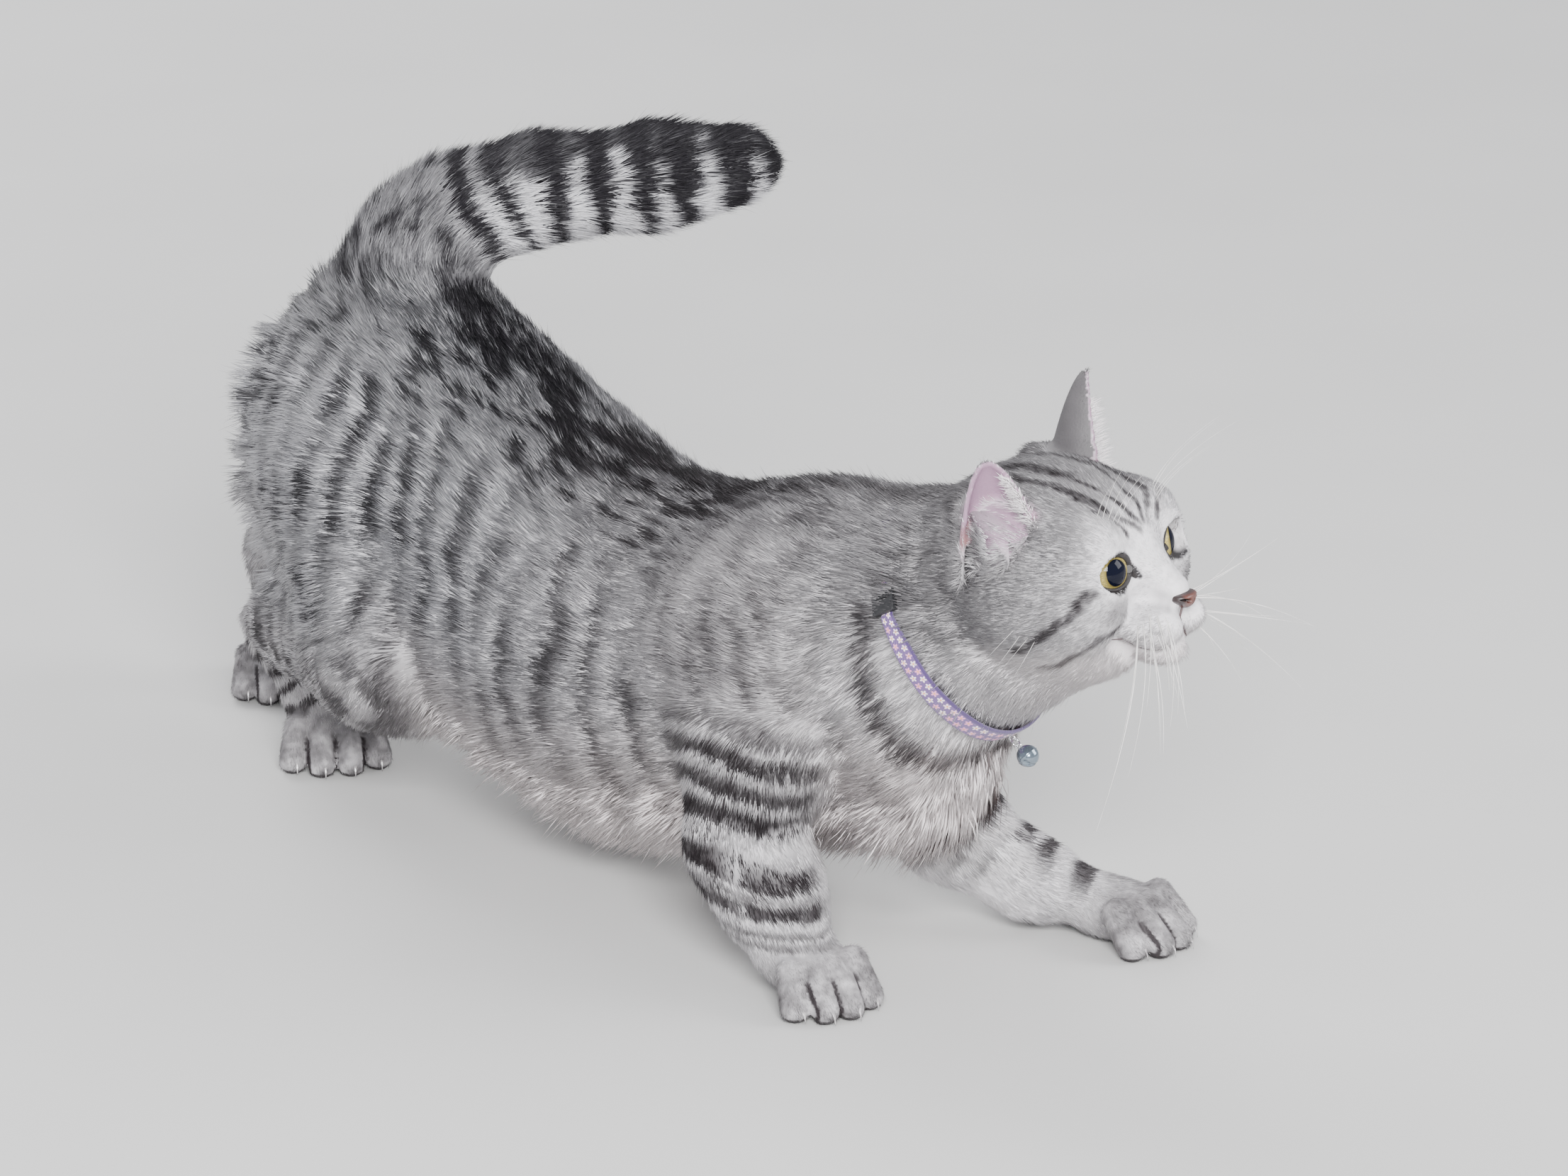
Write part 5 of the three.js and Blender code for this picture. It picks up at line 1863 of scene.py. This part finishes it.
# The clip's two bodies and the two prongs between them: middle and size.
CLIP_BLOCKS = (
    ((-3.4, 0, 0), (9.6, 12.5, 4.4)),
    ((5.4, 0, 0), (6.2, 12.0, 4.0)),
    ((1.6, 4.6, 0), (3.2, 2.2, 3.2)),
    ((1.6, -4.6, 0), (3.2, 2.2, 3.2)),
)
CLIP_ANGLE = math.radians(60)
CLIP_SUNK = 5.0


def make_clip():
    """Two black plastic halves with sunk tops, joined by two prongs, and bent to the neck."""
    outward = unit(ring_point(CLIP_ANGLE, 1.0)[0] - COLLAR_AT)
    bm = bmesh.new()
    for middle, size in CLIP_BLOCKS:
        made = bmesh.ops.create_cube(bm, size=1)
        for vertex in made["verts"]:
            vertex.co = Vector([c * s + m for c, s, m in zip(vertex.co, size, middle)])
    tops = [f for f in bm.faces if f.normal.z > 0.9 and f.calc_area() > 40]
    bmesh.ops.inset_individual(bm, faces=tops, thickness=1.4, depth=-0.7)
    sharp = [e for e in bm.edges if e.calc_face_angle(0) > 0.5]
    bmesh.ops.bevel(bm, geom=sharp, offset=0.5, segments=2, affect="EDGES", profile=0.5, material=-1)
    piece = from_bmesh("collar_clip_halves", bm)
    own = points_of(piece.data)
    own[:, 2] += 0.2 * own[:, 0] - 0.011 * own[:, 0] ** 2
    middle = ring_point(CLIP_ANGLE, neck_radius(CLIP_ANGLE)[0] - CLIP_SUNK)[0]
    put_along(piece, own, (np.cross(ring_axis, outward), ring_axis, outward), middle)
    return piece


hang = unit(BELL_HANGS)
hang_side = unit(np.cross(hang, (0, 0, 1)))
hang_front = np.cross(hang_side, hang)
under_collar = ring_point(math.pi, neck_radius(math.pi) - 0.2)[0]


def ring_line(middle, radius, first, second, wire):
    turns = np.linspace(0, 2 * np.pi, 40, endpoint=False)
    return [(middle + radius * (math.cos(t) * first + math.sin(t) * second), wire) for t in turns], True


def make_bell():
    """A round bell with a bead round its middle and a slot across its lower half."""
    bm = bmesh.new()
    bmesh.ops.create_uvsphere(bm, u_segments=64, v_segments=48, radius=1)
    piece = from_bmesh("bell_ball", bm)
    q = points_of(piece.data)
    bead = 0.05 * np.exp(-((q[:, 2] / 0.05) ** 2))
    slot = step(0.16, 0.09, np.abs(q[:, 0])) * step(-0.15, -0.4, q[:, 2])
    hole = step(0.26, 0.18, np.hypot(np.abs(q[:, 1]) - 0.82, q[:, 0])) * step(-0.1, -0.3, q[:, 2])
    sunk = np.maximum(slot, hole)
    shaped = q * (1 + bead - 0.22 * sunk)[:, None] * (BELL_RADIUS - 0.15)
    middle = under_collar + BELL_BELOW * hang
    put_along(piece, shaped, (hang_front, -hang_side, -hang), middle)
    return piece


finish_piece(make_collar(), make_ribbon_finish(), "collar", "collar")
clip_black = plain_finish("black clip plastic", (0.018, 0.018, 0.020), 0.38, (0.03, 0.03, 0.032), 0.0012)
finish_piece(make_clip(), clip_black, "clip", "collar_clip")
pearl = plain_finish(
    "blue-grey pearl metal", (0.24, 0.29, 0.34), 0.2, (0.18, 0.23, 0.28), 0.004, 0.85, 0.03, 0.6,
)
finish_piece(make_bell(), pearl, "bell", "bell")
bell_rings = tube("bell_links", [
    ring_line(under_collar + 2.68 * hang, 2.2, hang, hang_side, 0.36),
    ring_line(under_collar + 4.96 * hang, 1.3, hang, hang_front, 0.4),
    ring_line(under_collar + 0.4 * hang, 1.5, hang, hang_front, 0.4),
], 3)
steel = plain_finish("bright steel wire", (0.72, 0.72, 0.74), 0.16, (0.62, 0.62, 0.64), 0.002, 1.0, 0.02)
finish_piece(bell_rings, steel, "ring", "bell_ring")


# ---------------------------------------------------------------- floor, light and camera
def make_floor():
    bm = bmesh.new()
    bmesh.ops.create_grid(bm, x_segments=1, y_segments=1, size=6)
    floor = from_bmesh("floor", bm, smooth=False)
    pale, tree, shader = shader_tree("pale floor")
    grain = textured(tree, "TexNoise", {"Scale": 6})["Fac"]
    tint = tree.nodes.new("ShaderNodeValToRGB")
    tint.color_ramp.elements[0].color = (0.60, 0.595, 0.585, 1)
    tint.color_ramp.elements[1].color = (0.66, 0.655, 0.645, 1)
    tree.links.new(grain, tint.inputs["Fac"])
    fill(tree, shader, {"Base Color": tint.outputs["Color"], "Roughness": 0.7})
    floor.data.materials.append(pale)


def soft_light(name, at, aim, size, power):
    lamp = bpy.data.lights.new(name, "AREA")
    lamp.size = size
    lamp.energy = power
    light = bpy.data.objects.new(name, lamp)
    light.location = at
    light.rotation_euler = (Vector(aim) - Vector(at)).to_track_quat("-Z", "Y").to_euler()
    scene.collection.objects.link(light)


make_floor()
middle_of_cat = (0, 0, 0.16)
soft_light("key", (-1.75, -2.1, 1.75), middle_of_cat, 1.2, 190)
soft_light("fill", (1.7, -1.9, 1.4), middle_of_cat, 1.4, 48)
soft_light("rim", (0.6, 2.3, 1.9), middle_of_cat, 1.6, 56)
world = bpy.data.worlds.new("studio")
world.use_nodes = True
world.node_tree.nodes["Background"].inputs["Color"].default_value = (0.92, 0.94, 1, 1)
world.node_tree.nodes["Background"].inputs["Strength"].default_value = 0.7
scene.world = world

CAMERA_AIM = Vector(to_frame((300, 196, 0)))
CAMERA_AWAY = 3.7
CAMERA_TURN = math.radians(-45)
CAMERA_HEIGHT = math.radians(21)
backwards = Vector((
    math.sin(CAMERA_TURN) * math.cos(CAMERA_HEIGHT),
    -math.cos(CAMERA_TURN) * math.cos(CAMERA_HEIGHT),
    math.sin(CAMERA_HEIGHT),
))
lens = bpy.data.cameras.new("camera")
lens.lens = 162.75
lens.sensor_width = 36
camera = bpy.data.objects.new("camera", lens)
camera.location = CAMERA_AIM + CAMERA_AWAY * backwards
camera.rotation_euler = backwards.to_track_quat("Z", "Y").to_euler()
scene.collection.objects.link(camera)
scene.camera = camera
